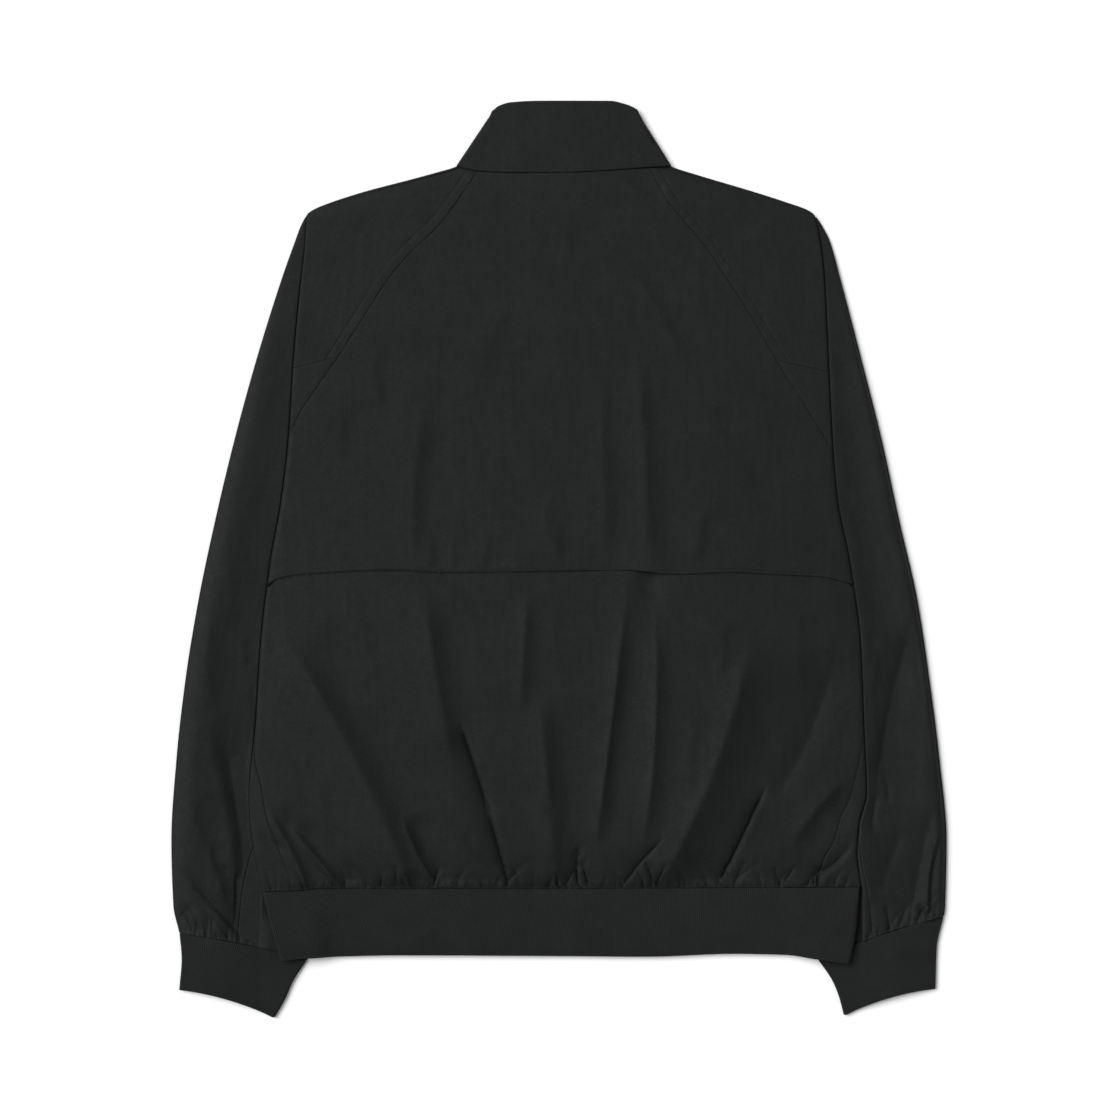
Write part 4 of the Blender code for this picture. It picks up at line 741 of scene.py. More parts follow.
def lay_grain(data, grain):
    """UV map in metres along and across the cloth's threads, which lean by the angle grain."""
    place = np.empty(len(data.vertices) * 3)
    data.vertices.foreach_get("co", place)
    place = place.reshape(-1, 3)
    corner = np.empty(len(data.loops), int)
    data.loops.foreach_get("vertex_index", corner)
    lean = np.radians(grain)
    u = place[:, 0] * np.cos(lean) + place[:, 1] * np.sin(lean)
    v = place[:, 1] * np.cos(lean) - place[:, 0] * np.sin(lean)
    flat = np.stack([u, v], axis=1)[corner]
    data.uv_layers.new(name="Grain").data.foreach_set("uv", flat.ravel())


# ---------------------------------------------------------------- sleeves

HALF_TURN, QUARTER_TURN = 11, 7         # points round a half and a quarter fold
BAND = 8.0              # the raglan's topstitching is this far from its seam
BAND_RISE, BAND_PUCKER, BAND_GROOVE, SEAM_GROOVE = 0.14, 0.30, 0.36, 0.26       # its relief
SHOULDER_SHARE = 0.42   # the shoulder line takes this share of the raglan head's rows
NECK_SHARES = (0.001, 0.003)            # two more rows, close to the neck
RAGLAN_LENGTH = 240.0   # of the seam above the gusset
HEAD_ROWS, HEAD_COLUMNS = 104, 66       # of points on the raglan head
GUSSET_ROWS, GUSSET_FLAT, TUBE_COLUMNS = 34, 10, 54
LIP = 9.4               # the under piece falls to the surface over this distance from its seam
SLEEVE_GRAIN = {LEFT: -9.0, RIGHT: 9.0}         # how far a sleeve's threads lean


def raglan_line(side):
    """Points down the whole raglan seam."""
    upper = RAGLAN[side](np.linspace(0, 1, 60))
    lower = RAGLAN_END[side](np.linspace(0, 1, 30))[1:]
    return np.vstack([upper, lower])


RAGLAN_LINE = {side: raglan_line(side) for side in (LEFT, RIGHT)}


def from_raglan(x, y):
    """Distance out from the nearer raglan seam, and how far down it in millimetres."""
    shape = np.shape(x)
    x, y = np.ravel(x), np.ravel(np.broadcast_to(y, shape))
    away, along = np.full(x.shape, 99.0), np.zeros(x.shape)
    for side in (LEFT, RIGHT):
        line = RAGLAN_LINE[side]
        out = SIGN[side] * x
        guess = np.interp(y, line[::-1, 1], line[::-1, 0])
        near = np.flatnonzero((np.abs(out - guess) < 22) & (y > ARMPIT_Y[side] - 1) & (y < 345))
        if len(near):
            d, share = beside(out[near], y[near], line[::-1, 0], line[::-1, 1])
            away[near], along[near] = d, (1 - share) * 260
    return away.reshape(shape), along.reshape(shape)


def head_height(x, y):
    """Upper layer of a sleeve's head: a band along the raglan seam holds its turnings."""
    away, along = from_raglan(x, y)
    band = ease(away / 1.2) * (1 - ease((away - BAND) / 1.4))
    pucker = cell_noise(along, away * 0.3, 3.4, 31) + 0.7 * cell_noise(along, 0 * away, 9, 32)
    groove = np.exp(-((away - BAND) / 0.8) ** 2)
    seam = np.exp(-np.maximum(away, 0) / 0.6)
    inside = ease(from_edge(x, y) / 6) * ease(from_shoulder(x, y) / 8)
    relief = band * (BAND_RISE + BAND_PUCKER * pucker) - BAND_GROOVE * groove - SEAM_GROOVE * seam
    ripple = 0.16 * cell_noise(along, 0 * away, 5.5, 33) * np.exp(-((away - BAND) / 4) ** 2)
    return back_height(x, y) + (relief + ripple) * inside


def gusset_height(x, y):
    """Upper layer of a gusset, rolled down at its seams."""
    away, _ = from_raglan(x, y)
    return back_height(x, y) - seam_dip(away) * ease(from_edge(x, y) / 3)


def shoulder_row(side, t):
    """Outline point and outward direction for a row that ends on the shoulder line."""
    square = ease(1 - t / 0.05)         # the first row ends square to the neck
    normal = SHOULDER[side].normal(t) * (1 - square) + np.array((1.0, 0.0)) * square
    return SHOULDER[side](t), normal / np.linalg.norm(normal)


def outline_edge(side, t, up):
    """The quarter fold at the shoulder line: the back's half if up, else the front's."""
    outline, normal = shoulder_row(side, t)
    centre = FLOOR_CLOTH + OUTER_ROUND
    seam_angle = np.arcsin(2 * GAP / OUTER_ROUND)
    angles = (1 if up else -1) * np.linspace(np.pi / 2, seam_angle, QUARTER_TURN)
    inset = EDGE_HALF + OUTER_ROUND * (1 - np.cos(angles))
    plan = outline - inset[:, None] * normal
    return points(side, plan[:, 0], plan[:, 1], centre + OUTER_ROUND * np.sin(angles))


def outer_edge(side, y, up, line=None):
    """The quarter fold at the sleeve's outer edge."""
    radius = outer_round(y)
    centre = OUTER(side, y) - EDGE_HALF - radius
    seam_angle = np.degrees(np.arcsin(2 * GAP / radius))
    start, stop = (90, seam_angle) if up else (-90, -seam_angle)
    line = y if line is None else line
    return turn(side, centre, line, FLOOR_CLOTH + radius, radius, start, stop, QUARTER_TURN)


def inner_turn(side, y, start, stop):
    """The hidden fold at the sleeve's inner edge, between the pleat and the upper layer."""
    return turn(side, INNER(side, y) + TURN, y, SLEEVE_UPPER + TURN, TURN, start, stop, 7)


def upper_layer(side, start, y):
    """Distances out across the sleeve's upper layer: coarse under the body, fine outside it."""
    end = OUTER(side, y) - EDGE_HALF - outer_round(y)
    shown = max(EDGE(side, y) - 2.4, start + 0.08 * (end - start))
    shown = min(shown, end - 0.8)
    lip = shown + min(5.4, 0.35 * (end - shown))
    return np.concatenate([np.linspace(start, shown, 8)[:-1], np.linspace(shown, lip, 11)[:-1],
                           np.linspace(lip, end, TUBE_COLUMNS)])


def tube_line(side, fraction):
    """Height of the sleeve's row at its inner and its outer end."""
    inner = ARMPIT_Y[side] + (CUFF_INNER[side](0.0)[1] + GAP - ARMPIT_Y[side]) * fraction
    outer = ARMPIT_Y[side] + (CUFF_OUTER[side](0.0)[1] + GAP - ARMPIT_Y[side]) * fraction
    return inner, outer


def tube_y(side, out, fraction):
    """Height of a sleeve's row at a distance out."""
    inner, outer = tube_line(side, fraction)
    reach = INNER(side, inner), OUTER(side, outer)
    share = (out - reach[0]) / (reach[1] - reach[0])
    return inner + (outer - inner) * share + CUFF_BOW[0] * 4 * share * (1 - share) * fraction ** 6


def tube_fractions(side):
    """Rows down the sleeve's tube, closer together at the gathers above the cuff."""
    length = ARMPIT_Y[side] - CUFF_OUTER[side](0.0)[1]
    plain = np.arange(0, length - 26, 2.9)
    gathered = length - np.concatenate([np.arange(25, 0.9, -1.15), CLOSE[::-1]])
    return np.concatenate([plain, gathered]) / length


def head_levels(side):
    """Heights of the raglan head's rows down the folded edge."""
    count = HEAD_ROWS - int(SHOULDER_SHARE * HEAD_ROWS)
    seam = GUSSET_SEAM_Y[side] + GAP
    plain = np.linspace(294, seam + CLOSE[-1], count - 2)
    return np.concatenate([plain, seam + np.array(CLOSE[1::-1])])


def gusset_levels(side):
    """Heights of the rows beside the gusset."""
    seam = GUSSET_SEAM_Y[side]
    return np.concatenate([seam - GAP - np.array(CLOSE[:-1]),
                           np.linspace(seam - GAP - CLOSE[-1], ARMPIT_Y[side], GUSSET_ROWS)])


def head_points(side, start, inset):
    """A row across the raglan head, from its seam up to the fold."""
    span = np.hypot(*(inset - start))
    out, y = spread(start, inset, head_stops(span) / span)
    return points(side, out, y, head_height(SIGN[side] * out, y))[:-1]


def sleeve_points(side, out, y):
    """Points of a sleeve's upper layer."""
    return points(side, out, y, sleeve_height(side, out, y))


def tube_top(side, start, y, fraction=None):
    """A row of a sleeve's upper layer and outer edge, level or at a fraction of the tube."""
    out = upper_layer(side, start, y)
    line = np.full(out.shape, y) if fraction is None else tube_y(side, out, fraction)
    edge_line = line[-1] + (y - line[-1]) * np.linspace(0, 1, QUARTER_TURN)
    return np.vstack([sleeve_points(side, out, line)[:-1], outer_edge(side, y, True, edge_line)])


def sleeve_back(side, finish):
    """Upper piece: raglan head, its fold, the pleat under it and the upper half of the tube."""
    levels = head_levels(side)
    shoulders = np.sort(np.append(np.linspace(0, 1, HEAD_ROWS - len(levels)), NECK_SHARES))
    total = len(shoulders) + len(levels)
    share = np.linspace(0, 1, total)
    share[1:3] = NECK_SHARES
    share[-3:-1] = 1 - np.array(CLOSE[:0:-1]) / RAGLAN_LENGTH
    raglan = RAGLAN[side](share) + (1.2 * GAP, 0)
    head, under, rest = [], [], []
    for row, t in enumerate(shoulders):
        outline, normal = shoulder_row(side, t)
        start = raglan[row] - (0, 2 * GAP * (1 - ease(row / 3)))
        head.append(np.vstack([head_points(side, start, outline - EDGE_INSET * normal),
                               outline_edge(side, t, up=True)]))
    for row, y in enumerate(levels, len(shoulders)):
        start = raglan[row] + (0, GAP * ease(1 - (total - 1 - row) / 3))
        centre, radius = fold_centre(side, y, head_height)
        fold = turn(side, centre, y, PLEAT + radius, radius, 90, -90, 2 * QUARTER_TURN - 1)
        head.append(np.vstack([head_points(side, start, np.array([centre, y])),
                               fold[:QUARTER_TURN]]))
        inner = INNER(side, y) + TURN
        pleat = points(side, np.linspace(centre, inner, 7), y, PLEAT)
        under.append(np.vstack([fold[QUARTER_TURN - 1:-1], pleat[:-1],
                                inner_turn(side, y, 90, 270)[:-1], tube_top(side, inner, y)]))
    for number, y in enumerate(np.concatenate([levels[-1:], gusset_levels(side)])):
        start = INNER(side, y) + TURN
        if number:
            start = max(start + 1.2, UNDERARM(side, y) + GAP)
        rest.append(tube_top(side, start, y))
    for fraction in tube_fractions(side)[1:]:
        y = tube_line(side, fraction)[1]
        start = UNDERARM(side, tube_y(side, UNDERARM(side, y), fraction)) + GAP
        rest.append(tube_top(side, start, y, fraction))
    return shell(f"Sleeve_{side}_upper", [thin(head, "ltr"), thin(under, "r"), thin(rest, "lrb")],
                 CLOTH, finish, [f"sleeve_{side}_back"], grain=SLEEVE_GRAIN[side])


def head_stops(span):
    """Distances across the raglan head from its seam: close together over the stitched band."""
    close = np.concatenate([CLOSE, np.arange(1.0, BAND + 2.6, 0.8)])
    close = close * min(1.0, 0.5 * span / close[-1])
    rest = np.linspace(close[-1], span, HEAD_COLUMNS - len(close) + 1)[1:]
    return np.concatenate([close, rest])


def gusset(side, finish):
    """Underarm gusset: a narrow point on the back, its fold, and the pleat under it."""
    top, bottom = GUSSET_SEAM_Y[side] - GAP, ARMPIT_Y[side] + 2 * GAP
    rows = []
    for t in stops(top - bottom, 1.9) / (top - bottom):
        y_edge = top + (bottom - top) * t
        inner = RAGLAN_END[side](t) + (1.2 * GAP, -GAP * (1 - t))
        centre, radius = fold_centre(side, y_edge, gusset_height)
        on_back = inner[0] < centre - 0.5       # lower down, the seam has turned on to the fold
        start = 90 if on_back else 90 - np.degrees((inner[0] - centre) / radius)
        fold = turn(side, centre, y_edge, PLEAT + radius, radius, start, -90, HALF_TURN)
        if on_back:
            span = centre - inner[0]
            out = inner[0] + span * gusset_shares(span, GUSSET_FLAT)
            y = inner[1] + (y_edge - inner[1]) * (out - inner[0]) / span
            flat = points(side, out, y, gusset_height(SIGN[side] * out, y))
        else:
            flat = fold[0] + np.outer(np.linspace(0.03, 0, GUSSET_FLAT), (0, 0, 1))
        pleat = points(side, np.linspace(centre, INNER(side, y_edge) + TURN, 9), y_edge, PLEAT)
        rows.append(np.vstack([flat[:-1], fold[:-1], pleat[:-1],
                               inner_turn(side, y_edge, 90, 270)]))
    return shell(f"Gusset_{side}", [thin(rows, "ltrb")], CLOTH, finish,
                 [f"gusset_{side}"])


def gusset_shares(span, count):
    """Shares of a gusset row's flat part, close together at its seam."""
    close = np.minimum(np.array(CLOSE) / span, (0, 0.06, 0.15))
    return np.concatenate([close[:-1], np.linspace(close[-1], 1, count - 2)])


def sleeve_front(side, finish):
    """Under piece: it lies on the surface, and wraps the inner edge up to the underarm seam."""
    levels = np.concatenate([np.linspace(290, GUSSET_SEAM_Y[side], 24),
                             np.linspace(GUSSET_SEAM_Y[side], ARMPIT_Y[side], 16)[1:]])
    edges = [outline_edge(side, t, up=False) for t in np.linspace(0, 1, 18)]
    edges += [outer_edge(side, y, up=False) for y in levels]
    seam = FRONT_RAGLAN[side](np.linspace(0, 1, len(edges))) + (1.4 * GAP, 0)
    seam[0] += GAP, -GAP
    flat, shares = np.linspace(0, 1, 12), np.linspace(0, 1, 7)[:-1]
    head, tube = [], []
    for inner, edge in zip(seam, edges):
        rim = np.array([SIGN[side] * edge[0, 0], edge[0, 1]])
        slope = (rim[1] - inner[1]) / max(rim[0] - inner[0], 12)
        reach = min(LIP, 0.35 * (rim[0] - inner[0]))
        level = inner + (reach, reach * slope)
        if edge is edges[-1]:
            level = np.array([INNER(side, inner[1]) + TURN, inner[1]])
        rise = front_height(side, inner[0], inner[1]) - FLOOR_CLOTH
        lip = points(side, *spread(inner, level, shares), FLOOR_CLOTH + rise * (1 - ease(shares)))
        lower = points(side, *spread(level, rim, flat), FLOOR_CLOTH)
        head.append(np.vstack([lip, lower[:-1], edge]))
    for fraction in tube_fractions(side):
        y_inner, y_outer = tube_line(side, fraction)
        turn_out = INNER(side, y_inner) + TURN
        y_seam = float(tube_y(side, UNDERARM(side, y_outer), fraction))
        seam_out = max(UNDERARM(side, y_seam) - GAP, turn_out + 0.8)
        span = seam_out - turn_out
        shown = min(20.0, 0.6 * span)
        top = seam_out - np.concatenate([np.minimum(CLOSE[:-1], 0.1 * span),
                                         np.linspace(min(CLOSE[-1], 0.2 * span), shown, 18)[:-1],
                                         np.linspace(shown, span, 6)])
        upper = sleeve_points(side, top, tube_y(side, top, fraction))
        y_turn = float(tube_y(side, turn_out, fraction))
        fold = turn(side, turn_out, y_turn, FLOOR_CLOTH + TURN, TURN, 90, 270, 7)
        edge = outer_edge(side, y_outer, up=False)
        out = turn_out + (SIGN[side] * edge[0, 0] - turn_out) * flat
        lower = points(side, out, tube_y(side, out, fraction), FLOOR_CLOTH)
        end = lower[-1, 1]
        edge[:, 1] = end + (edge[:, 1] - end) * np.linspace(0, 1, QUARTER_TURN)
        tube.append(np.vstack([upper[:-1], fold[:-1], lower[:-1], edge]))
    return shell(f"Sleeve_{side}_under", [thin(head, "ltr"), thin(tube, "lrb")], CLOTH, finish,
                 [f"sleeve_{side}_front"], grain=SLEEVE_GRAIN[side])


# ---------------------------------------------------------------- body

HEM_LEVEL = -283.0
GATHERED = 24.0         # rows and columns are closest over this height above the hem's seam
FRONT_COLUMNS = (24, 16, 40)            # under the chest and the side, and on to the seam
YOKE_PITCH, YOKE_COLUMNS = 2.15, 188
YOKE_END = -21.0        # the yoke's last row at the side seams
# The yoke's rows are numbered down its sides: 0 at the neck, 10 and 14 at the gusset's two ends
YOKE_ROWS = Table(y=(YOKE_END, 20, 60, 98, 173, 334), row=(17, 16, 15, 14, 10, 0))
PANEL_COLUMNS, GATHER_COLUMNS, HIDDEN_COLUMNS = 300, 616, 40
HIDDEN_INSET, RAGLAN_INSET = 6.5, 5.0   # the hidden panel's edge lies in from the seams


def body_line(x, level):
    """Height of a row across the body, which takes on the line of the hem as it nears it."""
    near_hem = ease((HEM_LEVEL + 43 - level) / 43)
    return level + near_hem * (HEM_SEAM("y", x) + 2 * GAP - HEM_LEVEL)


def levels_to_hem(start, pitch):
    """Levels from start down to the hem, closer together over its gathers."""
    plain = np.arange(start, HEM_LEVEL + GATHERED, -pitch)
    gathered = HEM_LEVEL + np.concatenate([np.arange(GATHERED - 1, 0.9, -1.3), CLOSE[::-1]])
    return np.concatenate([plain, gathered])


def front(side, finish):
    """A front: from the zip round the side edge, and on to the back as far as the side seam."""
    middle = SIGN[side] * ZIP_X + FRONT_EDGE
    armpit = ARMPIT_Y[side]
    corner_out = INNER(side, armpit) - 10
    width = corner_out - middle
    shares = np.concatenate([np.array(CLOSE[:-1]),
                             np.linspace(CLOSE[-1], width, FRONT_COLUMNS[0])]) / width
    chest, lower = [], []
    upright = 4 / 7         # share of the chest's rows that start at the zip, below the neck
    for w in np.linspace(0, 1, 32):
        if w <= upright:
            rise = (NECK[side](0.0)[1] - 0.5 - armpit) * w / upright
            inner = np.array([middle, armpit + rise])
        else:
            inner = NECK[side]((w - upright) / (1 - upright) * (NECK_SHARE - 0.06)) + (0.5, -0.75)
        outer = FRONT_RAGLAN[side](1 - w) - (1.2 * GAP, 0.5 * (w == 1))
        if w == 0:
            outer = np.array([corner_out, armpit])
        out, y = spread(inner, outer, shares)
        chest.append(points(side, out, y, front_height(side, out, y)))
    for level in levels_to_hem(armpit, 3.8):
        y_side = float(body_line(SIGN[side] * EDGE(side, level), level))
        centre, radius = fold_centre(side, y_side)
        split = corner_out + (0.7 * centre - corner_out) * ease((armpit - level) / 60)
        out = np.concatenate([middle + (split - middle) * shares,
                              np.linspace(split, centre, FRONT_COLUMNS[1])[1:]])
        y = body_line(SIGN[side] * out, level)
        flat = points(side, out, y, front_height(side, out, np.minimum(y, armpit)))
        start, stop = centre + np.pi * radius, side_seam(side, y_side) + GAP
        span = start - stop
        count = FRONT_COLUMNS[2] if level < -118 else 8
        turned = np.linspace(0, 1, count + 2)
        if span > 1.5:
            turned = np.concatenate([np.linspace(0, 1 - CLOSE[-1] / span, count)[:-1],
                                     1 - np.array(CLOSE[::-1]) / span])
        p = start - span * turned
        y_top = body_line(SIGN[side] * np.minimum(p, centre), level)
        top = layer(SIGN[side] * p, y_top, back_height)
        top[:, 2] -= np.where(top[:, 2] > PLEAT + radius, seam_dip(p - stop), 0)
        lower.append(np.vstack([flat[:-1], top]))
    return shell(f"Front_{side}", [thin(chest, "ltr"), thin(lower, "lrb")], CLOTH, finish,
                 [f"front_{side}"])


def yoke_limit(side, row):
    """End of a yoke's row at a raglan seam or, below the armpit, at the side seam."""
    if row <= 10:
        return RAGLAN[side](row / 10) - (1.2 * GAP, 0)
    if row <= 14:
        return RAGLAN_END[side]((row - 10) / 4) - (1.2 * GAP, 0)
    level = np.interp(row, (14, 15, 16, 17), (ARMPIT_Y[side], 60, 20, YOKE_END))
    return np.array([side_seam(side, level, yoke_height) - GAP, level])


def back_yoke(finish):
    """Full-width yoke: from the collar seam to its free hem, which lies over the panel."""
    levels = np.concatenate([333.9 - np.array(CLOSE), np.arange(332, -17, -YOKE_PITCH),
                             YOKE_END + np.array([4.2, 3.2, 2.4, 1.8, 1.2, 0.6, 0.16, 0])])
    numbers = np.interp(levels, YOKE_ROWS.columns["y"], YOKE_ROWS.columns["row"])
    numbers[0] = 0
    columns = np.linspace(0, 1, YOKE_COLUMNS - 4)
    rows = []
    for number in numbers:
        left, right = yoke_limit(LEFT, number), yoke_limit(RIGHT, number)
        width = left[0] + right[0]
        close = np.array(CLOSE) / width
        share = np.concatenate([close[:-1], close[-1] + columns * (1 - 2 * close[-1]),
                                1 - close[-2::-1]])
        x = width * share - left[0]
        y = left[1] + (right[1] - left[1]) * share
        for line, rows_away in ((NECK_BACK("y", x) - GAP, number / 3),
                                (YOKE_HEM("y", x), (17 - number) / 4)):
            y = y + ease(1 - rows_away) * (line - np.interp(share, (0, 1), line[[0, -1]]))
        rows.append(layer(x, y, yoke_height))
    return shell("Back_yoke", [thin(rows, "lrtb")], CLOTH, finish, ["back_yoke"])


def back_panel(finish):
    """Full back: gathered into the hem rib, and running up under the yoke to the collar."""
    rows = [panel_row(HEM_LEVEL + rise, GATHER_COLUMNS)
            for rise in np.concatenate([CLOSE, np.arange(1.2, 17, 1.15)])]
    rows += [panel_row(level, PANEL_COLUMNS) for level in np.arange(HEM_LEVEL + 18, -30, 2.25)]
    rows += [panel_row(level, PANEL_COLUMNS, inset)     # in under the yoke
             for level, inset in zip((-28, -26, -24.5, -22.5, -19, -14, -9, -3),
                                     (0, 0, 0.3, 3.0, 5.5, 6, 6, 6))]
    for y in np.linspace(8, 322, 30):
        ends = []
        for side in (LEFT, RIGHT):
            if y < ARMPIT_Y[side]:
                ends.append(side_seam(side, y, panel_height) - HIDDEN_INSET)
            else:
                line = RAGLAN_LINE[side]
                ends.append(np.interp(y, line[::-1, 1], line[::-1, 0]) - RAGLAN_INSET)
        x = np.linspace(-ends[0], ends[1], HIDDEN_COLUMNS)
        rows.append(layer(x, y, panel_height))
    return shell("Back_panel", [thin(rows, "lrtb")], CLOTH, finish, ["back_panel"])


def crowded(start, stop, count, level):
    """Places across the panel, closest together where a sharp fold or crease passes."""
    x = np.linspace(start, stop, 2400)
    weight = np.ones(x.shape)
    for line in PANEL_FOLDS + PANEL_CREASES:
        if min(line.left, line.right) > 9 or line.y0 > -100 or line.y2 - line.y0 < 40:
            continue
        line_x, line_y = line_of(line)
        at = np.interp(level, line_y, line_x)
        past = max(line_y.min() - level, level - line_y.max(), 0)
        weight += 2.2 * np.exp(-((x - at) / 5) ** 2) * np.exp(-past / 12)
    total = np.concatenate([[0.0], np.cumsum((weight[1:] + weight[:-1]) / 2)])
    return np.interp(np.linspace(0, total[-1], count), total, x)


def panel_row(level, count, inset=0.0):
    """A row across the panel between the side seams, less an inset under the yoke."""
    left = side_seam(LEFT, level, panel_height) - GAP - inset
    right = side_seam(RIGHT, level, panel_height) - GAP - inset
    width = left + right
    inner = crowded(CLOSE[-1] - left, width - CLOSE[-1] - left, count - 4, level) + left
    x = np.concatenate([CLOSE[:-1], inner, width - np.array(CLOSE[-2::-1])]) - left
    y = body_line(x, level)
    made = layer(x, y, panel_height)
    made[:, 0] -= overlap(x, y)
    if level < -225:
        made[:, 0] -= tuck_overlap(HEM_TUCKS, x, y - HEM_SEAM("y", x), HEM_SEED)
    away = np.minimum(x + left, right - x)
    made[:, 2] -= seam_dip(away) * (level < -150)
    return made


# ---------------------------------------------------------------- collar, rib and cuffs

COLLAR_WALL, COLLAR_TALL = 1.7, 59.0
COLLAR_STITCHES = (53.0, 1.7)           # heights of the topstitching above the seam
RIB_DEPTH = 0.2         # height of the knit's ribs
RIB_HALF, RIB_TOP, CUFF_COLUMNS = 608, 1256, 250        # four columns to a rib
TUCK_UP = 0.7           # how far the under half of a cuff reaches over its seam
KNIT_THIN = ((0.0, 0.30), (0.12, 0.55), (0.35, 0.82), (0.7, 0.97))


def band_rows(length, pitch):
    """Shares across a band, close together at both of its edges."""
    close = np.array([d for d, _ in KNIT_THIN]) / length
    inner = np.linspace(close[-1], 1 - close[-1], max(int(length / pitch), 3))[1:-1]
    return np.concatenate([close, inner, 1 - close[::-1]])


def band_thin(rows):
    """Adds each point's share of the wall: a thick band's two long edges are rounded."""
    made = []
    for number, row in enumerate(rows):
        i = min(number, len(rows) - 1 - number)
        part = KNIT_THIN[i][1] if i < len(KNIT_THIN) else 1.0
        made.append(np.column_stack([row, np.full(len(row), part)]))
    return made


def collar_edge_y(x, v):
    """Height of the collar's top edge above the place x of a line at the share v of its height."""
    return COLLAR_EDGE("y", x * (COLLAR_TOP[LEFT][0] / COLLAR_BASE[LEFT][0]) ** (1 - v))


def collar(finish):
    """Stand collar: a band from zip to zip, its back half on top of its front halves."""
    radius = (HEM_TOP - FLOOR_KNIT) / 2
    t = np.linspace(0, 1, 34)
    rows = []
    for v in band_rows(60, 2.6):
        halves = {}
        for side in (LEFT, RIGHT):
            base, top = np.array(COLLAR_BASE[side]), np.array(COLLAR_TOP[side])
            fold = base + (top - base) * v
            fold_x = fold[0] - KNIT_HALF - radius
            neck = NECK[side](t) + np.stack([-0.2 * t, 0.75 + 0 * t], axis=-1)
            middle = SIGN[side] * ZIP_X
            neck[0] = middle + FRONT_EDGE, NECK[side](0.0)[1] + 0.75
            neck[-1] = base[0] - KNIT_HALF - radius, base[1]
            end = np.array([middle + COLLAR_FRONT_SPREAD, COLLAR_FRONT_TOP_Y])
            top_line = end + (np.array([top[0] - KNIT_HALF - radius, top[1]]) - end) * t[:, None]
            plan = neck + (top_line - neck) * v
            under = points(side, plan[:, 0], plan[:, 1], FLOOR_KNIT)
            round_fold = turn(side, fold_x, fold[1], FLOOR_KNIT + radius, radius, -90, 90,
                              HALF_TURN)
            halves[side] = np.vstack([under[:-1], round_fold]), fold_x
        left, right = -halves[LEFT][1], halves[RIGHT][1]
        x = np.linspace(left, right, 104)[1:-1]
        base_y = NECK_BACK("y", x) + GAP
        y = base_y + (collar_edge_y(x, v) - base_y) * v
        top = np.stack([x, y, collar_height(x, v, left, right)], axis=-1)
        rows.append(np.vstack([halves[LEFT][0], top, halves[RIGHT][0][::-1]]))
    return shell("Collar", [band_thin(rows)], COLLAR_WALL, finish, ["collar"])


def collar_height(x, v, left, right):
    """Middle of the collar's back half, with the groove of its topstitching and a few wrinkles."""
    share = (x - left) / (right - left)
    inside = ease(share * 9) * ease((1 - share) * 9)
    up = v * COLLAR_TALL
    swell = 0.8 * np.sin(np.pi * share)
    groove = sum(-deep * np.exp(-((up - at) / wide) ** 2)
                 for at, deep, wide in zip(COLLAR_STITCHES, (0.22, 0.25), (0.9, 0.7)))
    wrinkle = -0.9 * np.exp(-((x - 90 - up * 0.35) / 3.0) ** 2 - ((up - 5) / 7) ** 2)
    wave = 0.3 * cell_noise(x, up + 0 * x, 26, 41) + 0.12 * cell_noise(x, up + 0 * x, 9, 42)
    return HEM_TOP + swell + (groove + wrinkle + wave) * inside


def corner_lift(side, out, y):
    """Lift of the hem rib where the sleeve, and lower down the cuff, lies under its corner."""
    over_sleeve = ease((out - (INNER(side, y) - 26)) / 22)
    return over_sleeve * (OVER_SLEEVE + OVER_CUFF * ease((-292 - y) / 34))


def ribbed(rows):
    """Raises the ribs of the knit along rows of points, square to the band."""
    wave = RIB_DEPTH * np.cos(np.pi * (np.arange(len(rows[0])) + 0.5) / 2)
    made = []
    for row in rows:
        along = np.gradient(row[:, 0]), np.gradient(row[:, 2])
        long = np.maximum(np.hypot(*along), 1e-9)
        raised = row.copy()
        raised[:, 0] -= wave * along[1] / long
        raised[:, 2] += wave * along[0] / long
        made.append(raised)
    return made


def hem_y(x, v):
    """Height of a line at the share v of the way down the hem rib."""
    seam = HEM_SEAM("y", x) - GAP
    return seam + (HEM_EDGE("y", x) - seam) * v


def hem_rib(finish):
    """Rib band at the hem: one band from zip to zip, folded flat at the sides."""
    radius = (HEM_TOP - FLOOR_KNIT) / 2
    rows = []
    for v in band_rows(58, 10.0):
        halves = {}
        for side in (LEFT, RIGHT):
            fold = HEM_SIDE[side](v)
            centre = fold[0] - KNIT_HALF - radius
            out = np.linspace(SIGN[side] * ZIP_X + FRONT_EDGE, centre, RIB_HALF)
            y = hem_y(SIGN[side] * out, v)
            under = points(side, out, y, FLOOR_KNIT + corner_lift(side, out, y))
            middle_z = FLOOR_KNIT + radius + float(corner_lift(side, centre, fold[1]))
            round_fold = turn(side, centre, y[-1], middle_z, radius, -90, 90, 17)
            halves[side] = np.vstack([under[:-1], round_fold]), centre
        x = np.linspace(-halves[LEFT][1], halves[RIGHT][1], RIB_TOP)[1:-1]
        y = hem_y(x, v)
        lift = np.where(x < 0, corner_lift(LEFT, -x, y), corner_lift(RIGHT, x, y))
        puff = 0.5 * np.sin(np.pi * v) + rib_wave(x, v)
        top = np.stack([x, y, HEM_TOP + lift + puff], axis=-1)
        rows.append(np.vstack([halves[LEFT][0], top, halves[RIGHT][0][::-1]]))
    return shell("Hem_rib", [band_thin(ribbed(rows))], KNIT, finish, ["hem_rib"])


